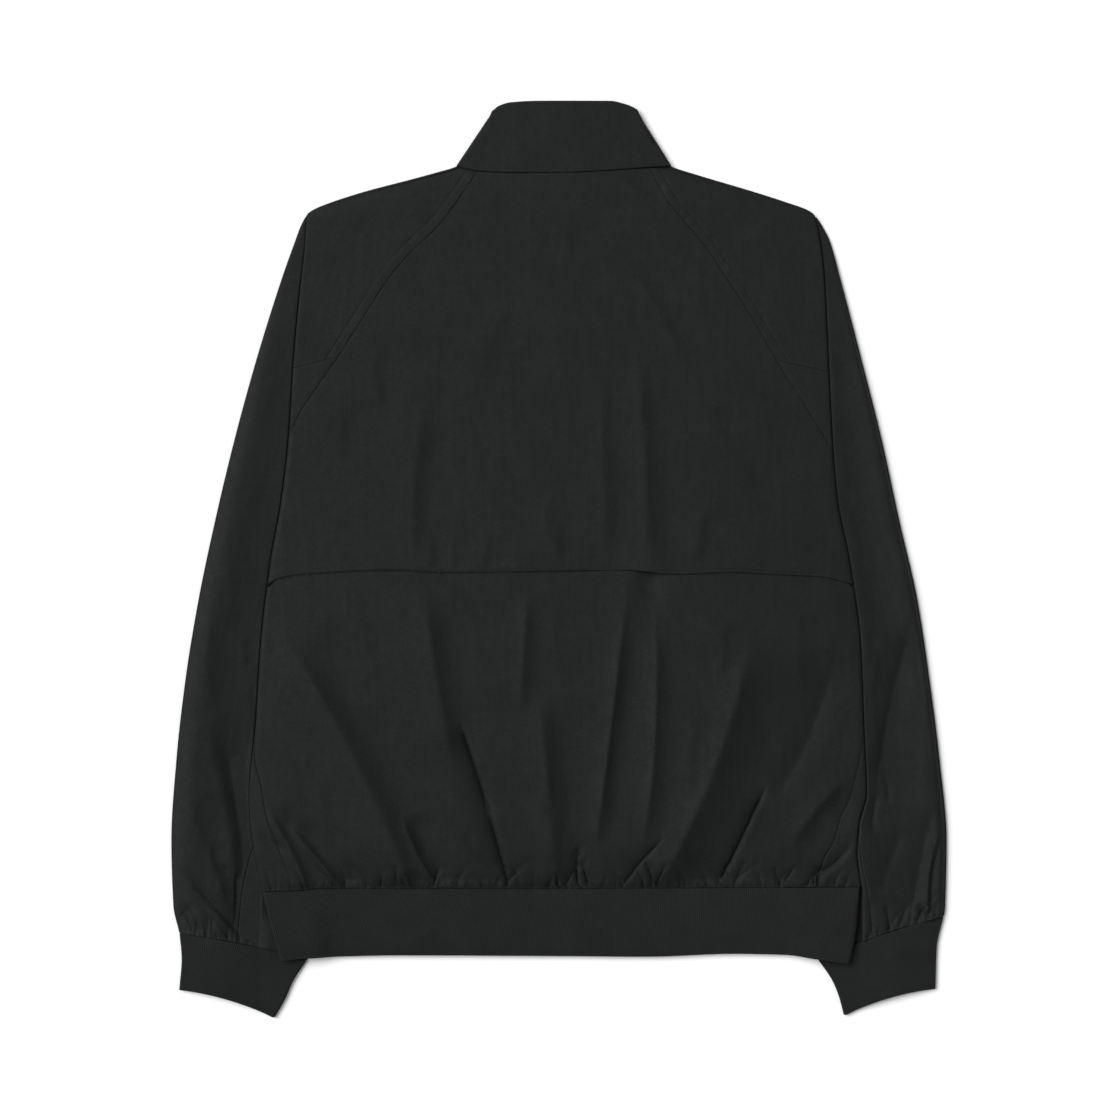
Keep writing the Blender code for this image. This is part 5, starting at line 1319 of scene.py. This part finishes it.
def rib_wave(x, v):
    """Low unevenness of the hem rib, drawn in at its seam by the gathers above it."""
    inside = ease((252 - np.abs(x)) / 14)
    down = 60 * v + 0 * x
    soft = 0.35 * cell_noise(x, down, 38, 51) + 0.16 * cell_noise(x, down, 13, 52)
    drawn = 0.3 * cell_noise(x, 0 * x, 6, 53) * np.exp(-v * 60 / 5)
    return (soft * min(1.0, 4 * (1 - v) + 0.3) + drawn) * inside


def cuff(side, finish):
    """Rib cuff: a flattened ring, its inner part under the corner of the hem rib."""
    radius = (CUFF_UPPER - FLOOR_KNIT) / 2
    middle_z = FLOOR_KNIT + radius
    share = np.linspace(0, 1, CUFF_COLUMNS)
    rows = []
    for v in band_rows(52, 5.5):
        by_seam = 1 - ease(v * 20)
        inner = CUFF_INNER[side](v) - (0, 0.3 * by_seam)
        outer = CUFF_OUTER[side](v) - (0, 0.1 * by_seam)
        bow = CUFF_BOW[0] + (CUFF_BOW[1] - CUFF_BOW[0]) * v
        left, right = inner[0] + KNIT_HALF + radius, outer[0] - KNIT_HALF - radius

        def plan(part):
            out = left + (right - left) * part
            along = (out - inner[0]) / (outer[0] - inner[0])
            return out, inner[1] + (outer[1] - inner[1]) * along + bow * 4 * along * (1 - along)

        out, y = plan(share)
        arch = 4.5 * np.sin(np.pi * np.clip((out - 256) / (right - 256), 0, 1)) * (1 - 0.35 * v)
        wave = 0.3 * cell_noise(out, 50 * v + 0 * out, 17, 61)
        wave = wave * ease((out - 262) / 10) * ease((right - out) / 8)
        top = points(side, out, y, CUFF_UPPER + arch + wave)
        outer_fold = turn(side, right, y[-1], middle_z, radius, 90, -90, 11)
        out, y = plan(share[::-1])
        y = y + TUCK_UP * (1 - ease(v * 12)) * np.sin(np.pi * share)
        bottom = points(side, out, y, FLOOR_KNIT + 0.3 * by_seam)
        inner_fold = turn(side, left, y[-1], middle_z, radius, 270, 90, 11)
        rows.append(np.vstack([top[:-1], outer_fold[:-1], bottom[:-1], inner_fold[:-1]]))
    return shell(f"Cuff_{side}", [band_thin(ribbed(rows))], KNIT, finish, [f"cuff_{side}"],
                 ring=True)


# ---------------------------------------------------------------- stitches

STITCH, STITCH_PITCH, THREAD = 2.3, 2.9, 0.19           # length, pitch and radius
TICK, TICK_PITCH = 1.5, 1.6                             # the seams' cross stitches at rib and cuffs
TACKS = (-215.0, -102.3, 98.9, 206.4)                   # bar tacks along the yoke's hem
TACK_HEIGHT, TACK_WIDTH, TACK_PITCH, TACK_THREAD = 5.6, 1.0, 0.42, 0.12
BESIDE = 1.6            # edge stitching is this far from its seam
# Along a stitch's length: share of it, height over the cloth and share of the thread's radius
THREAD_RINGS = ((-0.5, -0.14, 0.5), (-0.36, 0.05, 1.0), (0.0, 0.12, 1.0), (0.36, 0.05, 1.0),
                (0.5, -0.14, 0.5))
THREAD_SIDES = 6


def on_surface(x, y, height):
    """Points on the outside of the upper layer, and the directions out of it."""
    x, y = np.asarray(x, float), np.asarray(y, float)
    here = layer(x, y, height)
    across, up = layer(x + 0.05, y, height) - here, layer(x, y + 0.05, height) - here
    normal = np.cross(across, up)
    normal /= np.linalg.norm(normal, axis=1)[:, None]
    return here + normal * CLOTH / 2, normal


def spaced(place, normal, pitch):
    """A line's points at every pitch, with its directions out of the cloth and along itself."""
    mile = np.concatenate([[0.0], np.cumsum(np.linalg.norm(np.diff(place, axis=0), axis=1))])
    at = np.arange(pitch / 2, mile[-1], pitch)
    pick = lambda values, at: np.stack([np.interp(at, mile, column) for column in values.T], axis=1)
    out, along = pick(normal, at), pick(place, at + 0.4) - pick(place, at - 0.4)
    return (pick(place, at), out / np.linalg.norm(out, axis=1)[:, None],
            along / np.linalg.norm(along, axis=1)[:, None])


def threads(name, runs, parent, finish):
    """Short stitches of thread, each dipping into the cloth at both ends, as one piece."""
    angle = np.arange(THREAD_SIDES) * 2 * np.pi / THREAD_SIDES
    cos, sin = np.cos(angle)[:, None], np.sin(angle)[:, None]
    rings = len(THREAD_RINGS)
    ring = np.arange(THREAD_SIDES)
    quads = np.stack([ring, (ring + 1) % THREAD_SIDES, (ring + 1) % THREAD_SIDES + THREAD_SIDES,
                      ring + THREAD_SIDES], axis=1)
    last = (rings - 1) * THREAD_SIDES
    stitch = [face for low in range(0, last, THREAD_SIDES) for face in (quads + low).tolist()]
    stitch += [ring.tolist(), (ring + last).tolist()]
    blocks = []
    for centre, out, along, length, thick in runs:
        centre, out, along = centre[:, None], out[:, None], along[:, None]
        wide = np.cross(along, out)
        block = [centre + along * t * length + out * lift + thick * size * (wide * cos + out * sin)
                 for t, lift, size in THREAD_RINGS]
        blocks.append(np.stack(block, axis=1).reshape(-1, 3))
    vertices = np.vstack(blocks)
    faces = [[base + i for i in face]
             for base in range(0, len(vertices), rings * THREAD_SIDES) for face in stitch]
    return add_mesh(name, vertices, faces, finish, "shell", parent)


def linked(name, data):
    """A new object in the scene."""
    piece = bpy.data.objects.new(name, data)
    bpy.context.collection.objects.link(piece)
    return piece


def add_mesh(name, vertices, faces, finish, slot, parent=None, smooth=True):
    """A closed mesh, riding on the jacket or on a piece of it."""
    data = bpy.data.meshes.new(name)
    data.from_pydata((np.asarray(vertices) * MM).tolist(), [], faces)
    outward(data)
    data.materials.append(finish)
    data.polygons.foreach_set("use_smooth", [smooth] * len(data.polygons))
    lay_grain(data, 0.0)
    piece = linked(name, data)
    if parent is None:
        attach(piece, "root")
    else:
        piece.parent = parent
    return piece


def run(place, normal, pitch=STITCH_PITCH, length=STITCH, thick=THREAD):
    """One line of stitches."""
    return (*spaced(place, normal, pitch), length, thick)


def facing(place, up=1.0):
    """A line's points, with directions straight up or down."""
    return place, np.tile((0.0, 0.0, up), (len(place), 1))


def crossing(place, normal, pitch, length, thick=0.14):
    """Stitches that lie across a line."""
    centre, out, along = spaced(place, normal, pitch)
    return centre, out, np.cross(out, along), length, thick


def beside_path(line, away, count=90, start=0.0, stop=1.0):
    """Plan points a distance outward from a line that runs down and out."""
    t = np.linspace(start, stop, count)
    return line(t) + away * line.normal(t)


def sew_yoke(piece, finish):
    """Edge stitching along the yoke's free hem, and its bar tacks."""
    ends = [side_seam(side, -20.0, yoke_height) for side in (LEFT, RIGHT)]
    x = np.linspace(-ends[0] + 0.4, ends[1] - 0.4, 900)
    lines = [run(*on_surface(x, YOKE_HEM("y", x) + 1.7, yoke_height))]
    for place in TACKS:
        y = np.linspace(YOKE_HEM("y", place) + 0.4, YOKE_HEM("y", place) + TACK_HEIGHT, 30)
        line = on_surface(np.full(y.shape, place), y, yoke_height)
        lines.append(crossing(*line, TACK_PITCH, TACK_WIDTH, TACK_THREAD))
    threads("Yoke_stitches", lines, piece, finish)


def sew_sleeve(side, piece, finish):
    """Topstitching along the raglan and the gusset's seam, and the stitch by the underarm seam."""
    plan = beside_path(RAGLAN[side], BAND, 160, 0.005, 0.955)
    lines = [run(*on_surface(SIGN[side] * plan[:, 0], plan[:, 1], head_height))]
    corner, seam_y = RAGLAN[side](1.0), GUSSET_SEAM_Y[side]
    centre, radius = fold_centre(side, seam_y + BESIDE, head_height)
    out = np.linspace(corner[0] + 1.5, centre + radius * 1.9, 60)
    y = corner[1] + (seam_y - corner[1]) * (out - corner[0]) / (centre - corner[0]) + BESIDE
    lines.append(run(*on_surface(SIGN[side] * out, np.maximum(y, seam_y + BESIDE), head_height)))
    y = np.linspace(-150.0, cuff_seam_y(side, UNDERARM(side, -300)) + 1.5, 120)
    out = UNDERARM(side, y) + BESIDE
    lines.append(run(*facing(sleeve_points(side, out, y) + (0, 0, CLOTH / 2))))
    threads(f"Sleeve_{side}_stitches", lines, piece, finish)


def sew_gusset(side, piece, finish):
    """A single line of stitches along the gusset's raglan seam."""
    plan = beside_path(RAGLAN_END[side], BESIDE, 60, 0.03, 0.86)
    line = on_surface(SIGN[side] * plan[:, 0], plan[:, 1], gusset_height)
    threads(f"Gusset_{side}_stitches", [run(*line)], piece, finish)


def sew_collar(piece, finish):
    """Topstitching below the collar's top edge and above its seam."""
    lines = []
    for up in COLLAR_STITCHES:
        v = up / COLLAR_TALL
        ends = [COLLAR_BASE[side][0] * (1 - v) + COLLAR_TOP[side][0] * v - KNIT_HALF
                - (HEM_TOP - FLOOR_KNIT) / 2 for side in (LEFT, RIGHT)]
        x = np.linspace(-ends[0], ends[1], 240)
        base_y = NECK_BACK("y", x) + GAP
        y = base_y + (collar_edge_y(x, v) - base_y) * v
        z = collar_height(x, v, -ends[0], ends[1]) + COLLAR_WALL / 2
        lines.append(run(*facing(np.stack([x, y, z], axis=1))))
    threads("Collar_stitches", lines, piece, finish)


def sew_ribs(panel, sleeves, finish):
    """The fine cross stitches at the seams of the hem rib and the cuffs."""
    x = np.linspace(-side_seam(LEFT, HEM_LEVEL) + 1, side_seam(RIGHT, HEM_LEVEL) - 1, 900)
    line = on_surface(x, HEM_SEAM("y", x) + 1.1, panel_height)
    threads("Hem_stitches", [crossing(*line, TICK_PITCH, TICK)], panel, finish)
    for side in (LEFT, RIGHT):
        out = np.linspace(UNDERARM(side, -300) + 1, OUTER(side, -315) - 3, 200)
        line = facing(sleeve_points(side, out, cuff_seam_y(side, out) + 1.2) + (0, 0, CLOTH / 2))
        threads(f"Cuff_{side}_stitches", [crossing(*line, TICK_PITCH, TICK)], sleeves[side], finish)


def sew_fronts(fronts, finish):
    """Stitching down both sides of the zip, on the outside of the fronts."""
    for side in (LEFT, RIGHT):
        y = np.linspace(NECK[side](0.0)[1] - 1, HEM_LEVEL + 1.5, 400)
        out = SIGN[side] * ZIP_X + FRONT_EDGE + 5.0
        line = facing(points(side, out, y, FLOOR_CLOTH - CLOTH / 2 + 0.04), -1.0)
        threads(f"Front_{side}_stitches", [run(*line, thick=0.11)], fronts[side], finish)


# ---------------------------------------------------------------- zip

ZIP_BOTTOM, ZIP_TOP = -338.5, 318.0
TAPE_HALF, TAPE_INNER, TAPE_LOW, TAPE_HIGH = 14.0, 0.9, 1.35, 1.95
TOOTH_PITCH, TOOTH_LONG, TOOTH_LOW, TOOTH_HIGH = 2.0, 0.9, 0.45, 2.35
TOOTH_OUT, TOOTH_HALF = 0.85, 1.45      # a tooth's middle from the zip's, and half its width
KNIT_EXTRA = 1.0        # the zip lies this much higher over rib and collar
SLIDER_LENGTH, SLIDER_HALF, SLIDER_TALL = 11.5, 4.3, 3.4


def zip_lift(y):
    """How much higher the zip lies over the rib and the collar."""
    return KNIT_EXTRA * (1 - ease((y + 286) / 10) * (1 - ease((y - 258) / 10)))


def boxes(places, sizes):
    """Vertices and faces of boxes from their middles and half sizes."""
    unit = np.array([(-1, -1, -1), (1, -1, -1), (1, 1, -1), (-1, 1, -1),
                     (-1, -1, 1), (1, -1, 1), (1, 1, 1), (-1, 1, 1)], float)
    quads = ((0, 3, 2, 1), (4, 5, 6, 7), (0, 1, 5, 4), (1, 2, 6, 5), (2, 3, 7, 6), (3, 0, 4, 7))
    vertices = (places[:, None] + unit * sizes[:, None]).reshape(-1, 3)
    faces = [tuple(8 * n + i for i in quad) for n in range(len(places)) for quad in quads]
    return vertices, faces


def zip_band(tape, metal):
    """Closed zip: two tapes and the teeth between them."""
    y = np.concatenate([np.arange(ZIP_BOTTOM, -275, 4), np.arange(-270, 256, 9),
                        np.arange(257, ZIP_TOP, 4), [ZIP_TOP]])
    lift = zip_lift(y)
    profile = ((TAPE_INNER, TAPE_LOW), (TAPE_HALF - 0.3, TAPE_LOW), (TAPE_HALF, TAPE_LOW + 0.3),
               (TAPE_HALF - 0.3, TAPE_HIGH), (TAPE_INNER, TAPE_HIGH))
    vertices, faces, places, sizes = [], [], [], []
    for side in (-1, 1):
        start, stop = len(vertices), len(vertices) + 5 * (len(y) - 1)
        vertices += [(ZIP_X + side * x, y[row], z + lift[row])
                     for row in range(len(y)) for x, z in profile]
        for low in range(start, stop, 5):
            faces += [(low + i, low + j, low + 5 + j, low + 5 + i)
                      for i, j in enumerate((1, 2, 3, 4, 0))]
        faces += [tuple(range(start, start + 5)), tuple(range(stop, stop + 5))]
        at = np.arange(ZIP_BOTTOM + 2 + (side > 0) * TOOTH_PITCH / 2, ZIP_TOP - 1, TOOTH_PITCH)
        middle = (TOOTH_LOW + TOOTH_HIGH) / 2 + zip_lift(at)
        places.append(np.stack([np.full(at.shape, ZIP_X + side * TOOTH_OUT), at, middle], axis=1))
        tooth = TOOTH_HALF, TOOTH_LONG / 2, (TOOTH_HIGH - TOOTH_LOW) / 2
        sizes.append(np.tile(tooth, (len(at), 1)))
    tapes = add_mesh("Zip_tapes", vertices, faces, tape, "zip_tape", smooth=False)
    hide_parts("zip")
    teeth = boxes(np.vstack(places), np.vstack(sizes))
    add_mesh("Zip_teeth", *teeth, metal, "zip_metal", tapes, False)


def zip_slider(metal):
    """Slider above the chain's end: two wings joined by a post, with flanges at the teeth."""
    start, middle = ZIP_TOP + 0.4, ZIP_TOP + 0.4 + SLIDER_LENGTH / 2
    outline = ((-0.62, 0), (0.62, 0), (0.98, 0.42), (0.98, 0.86),
               (0.7, 1), (-0.7, 1), (-0.98, 0.86), (-0.98, 0.42))
    mesh = bmesh.new()
    for low, high in ((0.05, 0.85), (SLIDER_TALL - 0.8, SLIDER_TALL)):
        ring = [mesh.verts.new(((ZIP_X + x * SLIDER_HALF) * MM, (start + v * SLIDER_LENGTH) * MM,
                                low * MM)) for x, v in outline]
        lifted = bmesh.ops.extrude_face_region(mesh, geom=[mesh.faces.new(ring)])["geom"]
        corners = [item for item in lifted if isinstance(item, bmesh.types.BMVert)]
        bmesh.ops.translate(mesh, verts=corners, vec=(0, 0, (high - low) * MM))
    post = np.array([(ZIP_X, middle + 3.4, SLIDER_TALL / 2)])
    flanges = np.array([(ZIP_X - 3.6, middle + 1.0, 1.2), (ZIP_X + 3.6, middle + 1.0, 1.2)])
    for place, half in ((post, (1.1, 1.6, 1.25)), (flanges, (0.35, 3.6, 0.5))):
        vertices, faces = boxes(place, np.tile(half, (len(place), 1)))
        corners = [mesh.verts.new(vertex * MM) for vertex in vertices]
        for face in faces:
            mesh.faces.new([corners[i] for i in face])
    bmesh.ops.recalc_face_normals(mesh, faces=mesh.faces)
    bmesh.ops.bevel(mesh, geom=list(mesh.edges), offset=0.22 * MM, segments=2, affect="EDGES")
    data = bpy.data.meshes.new("Zip_slider")
    mesh.to_mesh(data)
    mesh.free()
    data.materials.append(metal)
    data.shade_smooth()
    lay_grain(data, 0.0)
    piece = linked("Zip_slider", data)
    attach(piece, "root")
    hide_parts("zip_slider")


# ---------------------------------------------------------------- finishes

class Nodes:
    """Short ways to add and join shader nodes."""

    def __init__(self, name):
        self.material = bpy.data.materials.new(name)
        self.material.use_nodes = True
        self.tree = self.material.node_tree
        self.shader = self.tree.nodes["Principled BSDF"]

    def add(self, kind, **settings):
        made = self.tree.nodes.new(kind)
        for key, value in settings.items():
            setattr(made, key, value)
        return made

    def join(self, start, end):
        self.tree.links.new(start, end)

    def grain(self, stretch):
        """The Grain UV map, with its metres multiplied along and across the threads."""
        place = self.add("ShaderNodeUVMap", uv_map="Grain")
        scale = self.add("ShaderNodeMapping")
        scale.inputs["Scale"].default_value = stretch
        self.join(place.outputs["UV"], scale.inputs["Vector"])
        return scale.outputs["Vector"]

    def solid_place(self):
        """Place in the jacket's own frame, in metres."""
        return self.add("ShaderNodeTexCoord").outputs["Object"]

    def noise(self, vector, scale, detail=2.0, rough=0.5):
        made = self.add("ShaderNodeTexNoise")
        made.inputs["Scale"].default_value = scale
        made.inputs["Detail"].default_value = detail
        made.inputs["Roughness"].default_value = rough
        self.join(vector, made.inputs["Vector"])
        return made.outputs["Fac"]

    def waves(self, vector, scale, direction):
        made = self.add("ShaderNodeTexWave", bands_direction=direction)
        made.inputs["Scale"].default_value = scale
        made.inputs["Distortion"].default_value = 0.6
        made.inputs["Detail Scale"].default_value = 0.6
        self.join(vector, made.inputs["Vector"])
        return made.outputs["Fac"]

    def math(self, operation, first, second):
        made = self.add("ShaderNodeMath", operation=operation)
        for value, socket in zip((first, second), made.inputs):
            if isinstance(value, (int, float)):
                socket.default_value = value
            else:
                self.join(value, socket)
        return made.outputs[0]

    def span(self, value, low, high, start=0.0, stop=1.0):
        made = self.add("ShaderNodeMapRange")
        for number, amount in ((1, start), (2, stop), (3, low), (4, high)):
            made.inputs[number].default_value = amount
        self.join(value, made.inputs[0])
        return made.outputs[0]

    def bump(self, height, strength, distance, normal=None):
        made = self.add("ShaderNodeBump")
        made.inputs["Strength"].default_value = strength
        made.inputs["Distance"].default_value = distance
        self.join(height, made.inputs["Height"])
        if normal is not None:
            self.join(normal, made.inputs["Normal"])
        return made.outputs["Normal"]

    def tint(self, amount, dark, light):
        """Colour between two values of one hue."""
        made = self.add("ShaderNodeMix", data_type="RGBA")
        colours = [socket for socket in made.inputs if socket.type == "RGBA"]
        colours[0].default_value, colours[1].default_value = (*dark, 1.0), (*light, 1.0)
        self.join(amount, made.inputs[0])
        output = next(socket for socket in made.outputs if socket.type == "RGBA")
        self.join(output, self.shader.inputs["Base Color"])

    def set(self, **values):
        for key, value in values.items():
            self.shader.inputs[key.replace("_", " ")].default_value = value


def shell_cloth():
    """Matt black cotton: fine weave, uneven threads, faint creases and wear on its ridges."""
    n = Nodes("Black cotton")
    weave = n.math("MULTIPLY", *(n.waves(n.grain((1, 1, 1)), 640, way) for way in "XY"))
    yarn = n.noise(n.grain((1500, 420, 1)), 1.0, 2.0, 0.6)
    weft = n.noise(n.grain((420, 1700, 1)), 1.0, 2.0, 0.6)
    streak = n.noise(n.grain((240, 30, 1)), 1.0, 3.0, 0.6)
    crush = n.noise(n.solid_place(), 170, 3.0, 0.55)
    soft = n.noise(n.solid_place(), 30, 2.0, 0.5)
    normal = n.bump(crush, 0.10, 0.0006)
    normal = n.bump(n.math("ADD", yarn, weft), 0.8, 0.00026, normal)
    normal = n.bump(weave, 0.35, 0.00010, normal)
    n.join(normal, n.shader.inputs["Normal"])
    worn = n.span(n.add("ShaderNodeNewGeometry").outputs["Pointiness"], 0.0, 0.35, 0.52, 0.62)
    parts = [n.math("MULTIPLY", n.span(fac, 0.0, 1.0, 0.25, 0.75), share)
             for fac, share in ((soft, 0.12), (streak, 0.20), (yarn, 0.38), (weft, 0.30))]
    tone = n.math("ADD", n.math("ADD", parts[0], parts[1]), n.math("ADD", parts[2], parts[3]))
    n.tint(n.math("ADD", tone, worn), (0.0000, 0.0003, 0.0002), (0.0138, 0.0153, 0.0147))
    n.join(n.span(crush, 0.62, 0.72, 0.3, 0.7), n.shader.inputs["Roughness"])
    n.set(Sheen_Weight=0.06, Sheen_Roughness=0.3, Specular_IOR_Level=0.16)
    return n.material


def rib_knit():
    """Matt black knit: each rib is a column of small loops."""
    n = Nodes("Rib knit")
    loops = n.waves(n.grain((1, 1, 1)), 330, "Y")
    fuzz = n.noise(n.solid_place(), 1500, 2.0, 0.6)
    soft = n.noise(n.solid_place(), 60, 2.0, 0.5)
    normal = n.bump(loops, 0.4, 0.00012)
    normal = n.bump(fuzz, 0.4, 0.00012, normal)
    n.join(normal, n.shader.inputs["Normal"])
    n.tint(n.math("ADD", n.math("MULTIPLY", soft, 0.6), n.math("MULTIPLY", fuzz, 0.4)),
           (0.0082, 0.0094, 0.0087), (0.0168, 0.0186, 0.0175))
    n.set(Roughness=0.9, Sheen_Weight=0.03, Sheen_Roughness=0.5, Specular_IOR_Level=0.1)
    return n.material


def plain_finish(name, dark, light, roughness, metallic=0.0, scale=900, sheen=0.0):
    """Thread, tape and zip metal: one tone with a fine unevenness."""
    n = Nodes(name)
    speckle = n.noise(n.solid_place(), scale, 2.0, 0.6)
    n.tint(speckle, dark, light)
    n.join(n.bump(speckle, 0.25, 0.0001), n.shader.inputs["Normal"])
    n.set(Roughness=roughness, Metallic=metallic, Sheen_Weight=sheen)
    return n.material


# ---------------------------------------------------------------- the scene

FLOOR_NAME = "Floor"
LENS, SENSOR, PHOTO_WIDE = 85.0, 36.0, 0.9632           # the photo's width in metres, in its frame


def jacket():
    """All the pieces, their stitches and what each is cut from."""
    cotton, knit = shell_cloth(), rib_knit()
    thread = plain_finish("Black thread", (0.0050, 0.0056, 0.0054), (0.0096, 0.0105, 0.0102), 0.8)
    tape = plain_finish("Zip tape", (0.010, 0.010, 0.011), (0.018, 0.018, 0.019), 0.85, sheen=0.02)
    metal = plain_finish("Zip metal", (0.09, 0.09, 0.095), (0.15, 0.15, 0.155), 0.34, 1.0, 500)
    panel, yoke, neck, hem = back_panel(cotton), back_yoke(cotton), collar(cotton), hem_rib(knit)
    fronts, uppers, unders, gussets, cuffs = {}, {}, {}, {}, {}
    for side in (LEFT, RIGHT):
        fronts[side] = front(side, cotton)
        uppers[side] = sleeve_back(side, cotton)
        unders[side] = sleeve_front(side, cotton)
        gussets[side] = gusset(side, cotton)
        cuffs[side] = cuff(side, knit)
        sew_sleeve(side, uppers[side], thread)
        sew_gusset(side, gussets[side], thread)
    sew_yoke(yoke, thread)
    sew_collar(neck, thread)
    sew_ribs(panel, uppers, thread)
    sew_fronts(fronts, thread)
    zip_band(tape, metal)
    zip_slider(metal)


def floor():
    """A wide pale surface."""
    data = bpy.data.meshes.new(FLOOR_NAME)
    half = 6.0
    corners = [(-half, -half, 0), (half, -half, 0), (half, half, 0), (-half, half, 0)]
    data.from_pydata(corners, [], [(0, 1, 2, 3)])
    n = Nodes("Floor")
    n.set(Base_Color=(0.92, 0.92, 0.92, 1.0), Roughness=0.9, Specular_IOR_Level=0.1)
    data.materials.append(n.material)
    piece = linked(FLOOR_NAME, data)


def light(name, strength, angle, across, up, height):
    """A broad soft light from the direction (across, up, height)."""
    data = bpy.data.lights.new(name, "SUN")
    data.energy, data.angle = strength, np.radians(angle)
    direction = Vector((across, up, height)).to_track_quat("Z", "Y")
    linked(name, data).rotation_euler = direction.to_euler()


def studio():
    """Soft studio light, stronger from the left, and the camera straight above."""
    world = bpy.data.worlds.new("Studio")
    world.use_nodes = True
    background = world.node_tree.nodes["Background"].inputs
    background["Color"].default_value = (1.0, 1.0, 1.0, 1.0)
    background["Strength"].default_value = 0.30
    bpy.context.scene.world = world
    bpy.context.scene.view_settings.view_transform = "Standard"
    light("Left_light", 3.6, 45, -1.0, 0.5, 1.1)
    light("Right_light", 0.4, 60, 1.0, 0.3, 0.8)
    camera = bpy.data.cameras.new("Camera")
    camera.lens, camera.sensor_width = LENS, SENSOR
    camera.clip_end = 20.0
    eye = linked("Camera", camera)
    eye.location = (0.0009, -0.0002, PHOTO_WIDE * LENS / SENSOR + 0.0025)
    bpy.context.scene.camera = eye


jacket()
floor()
studio()
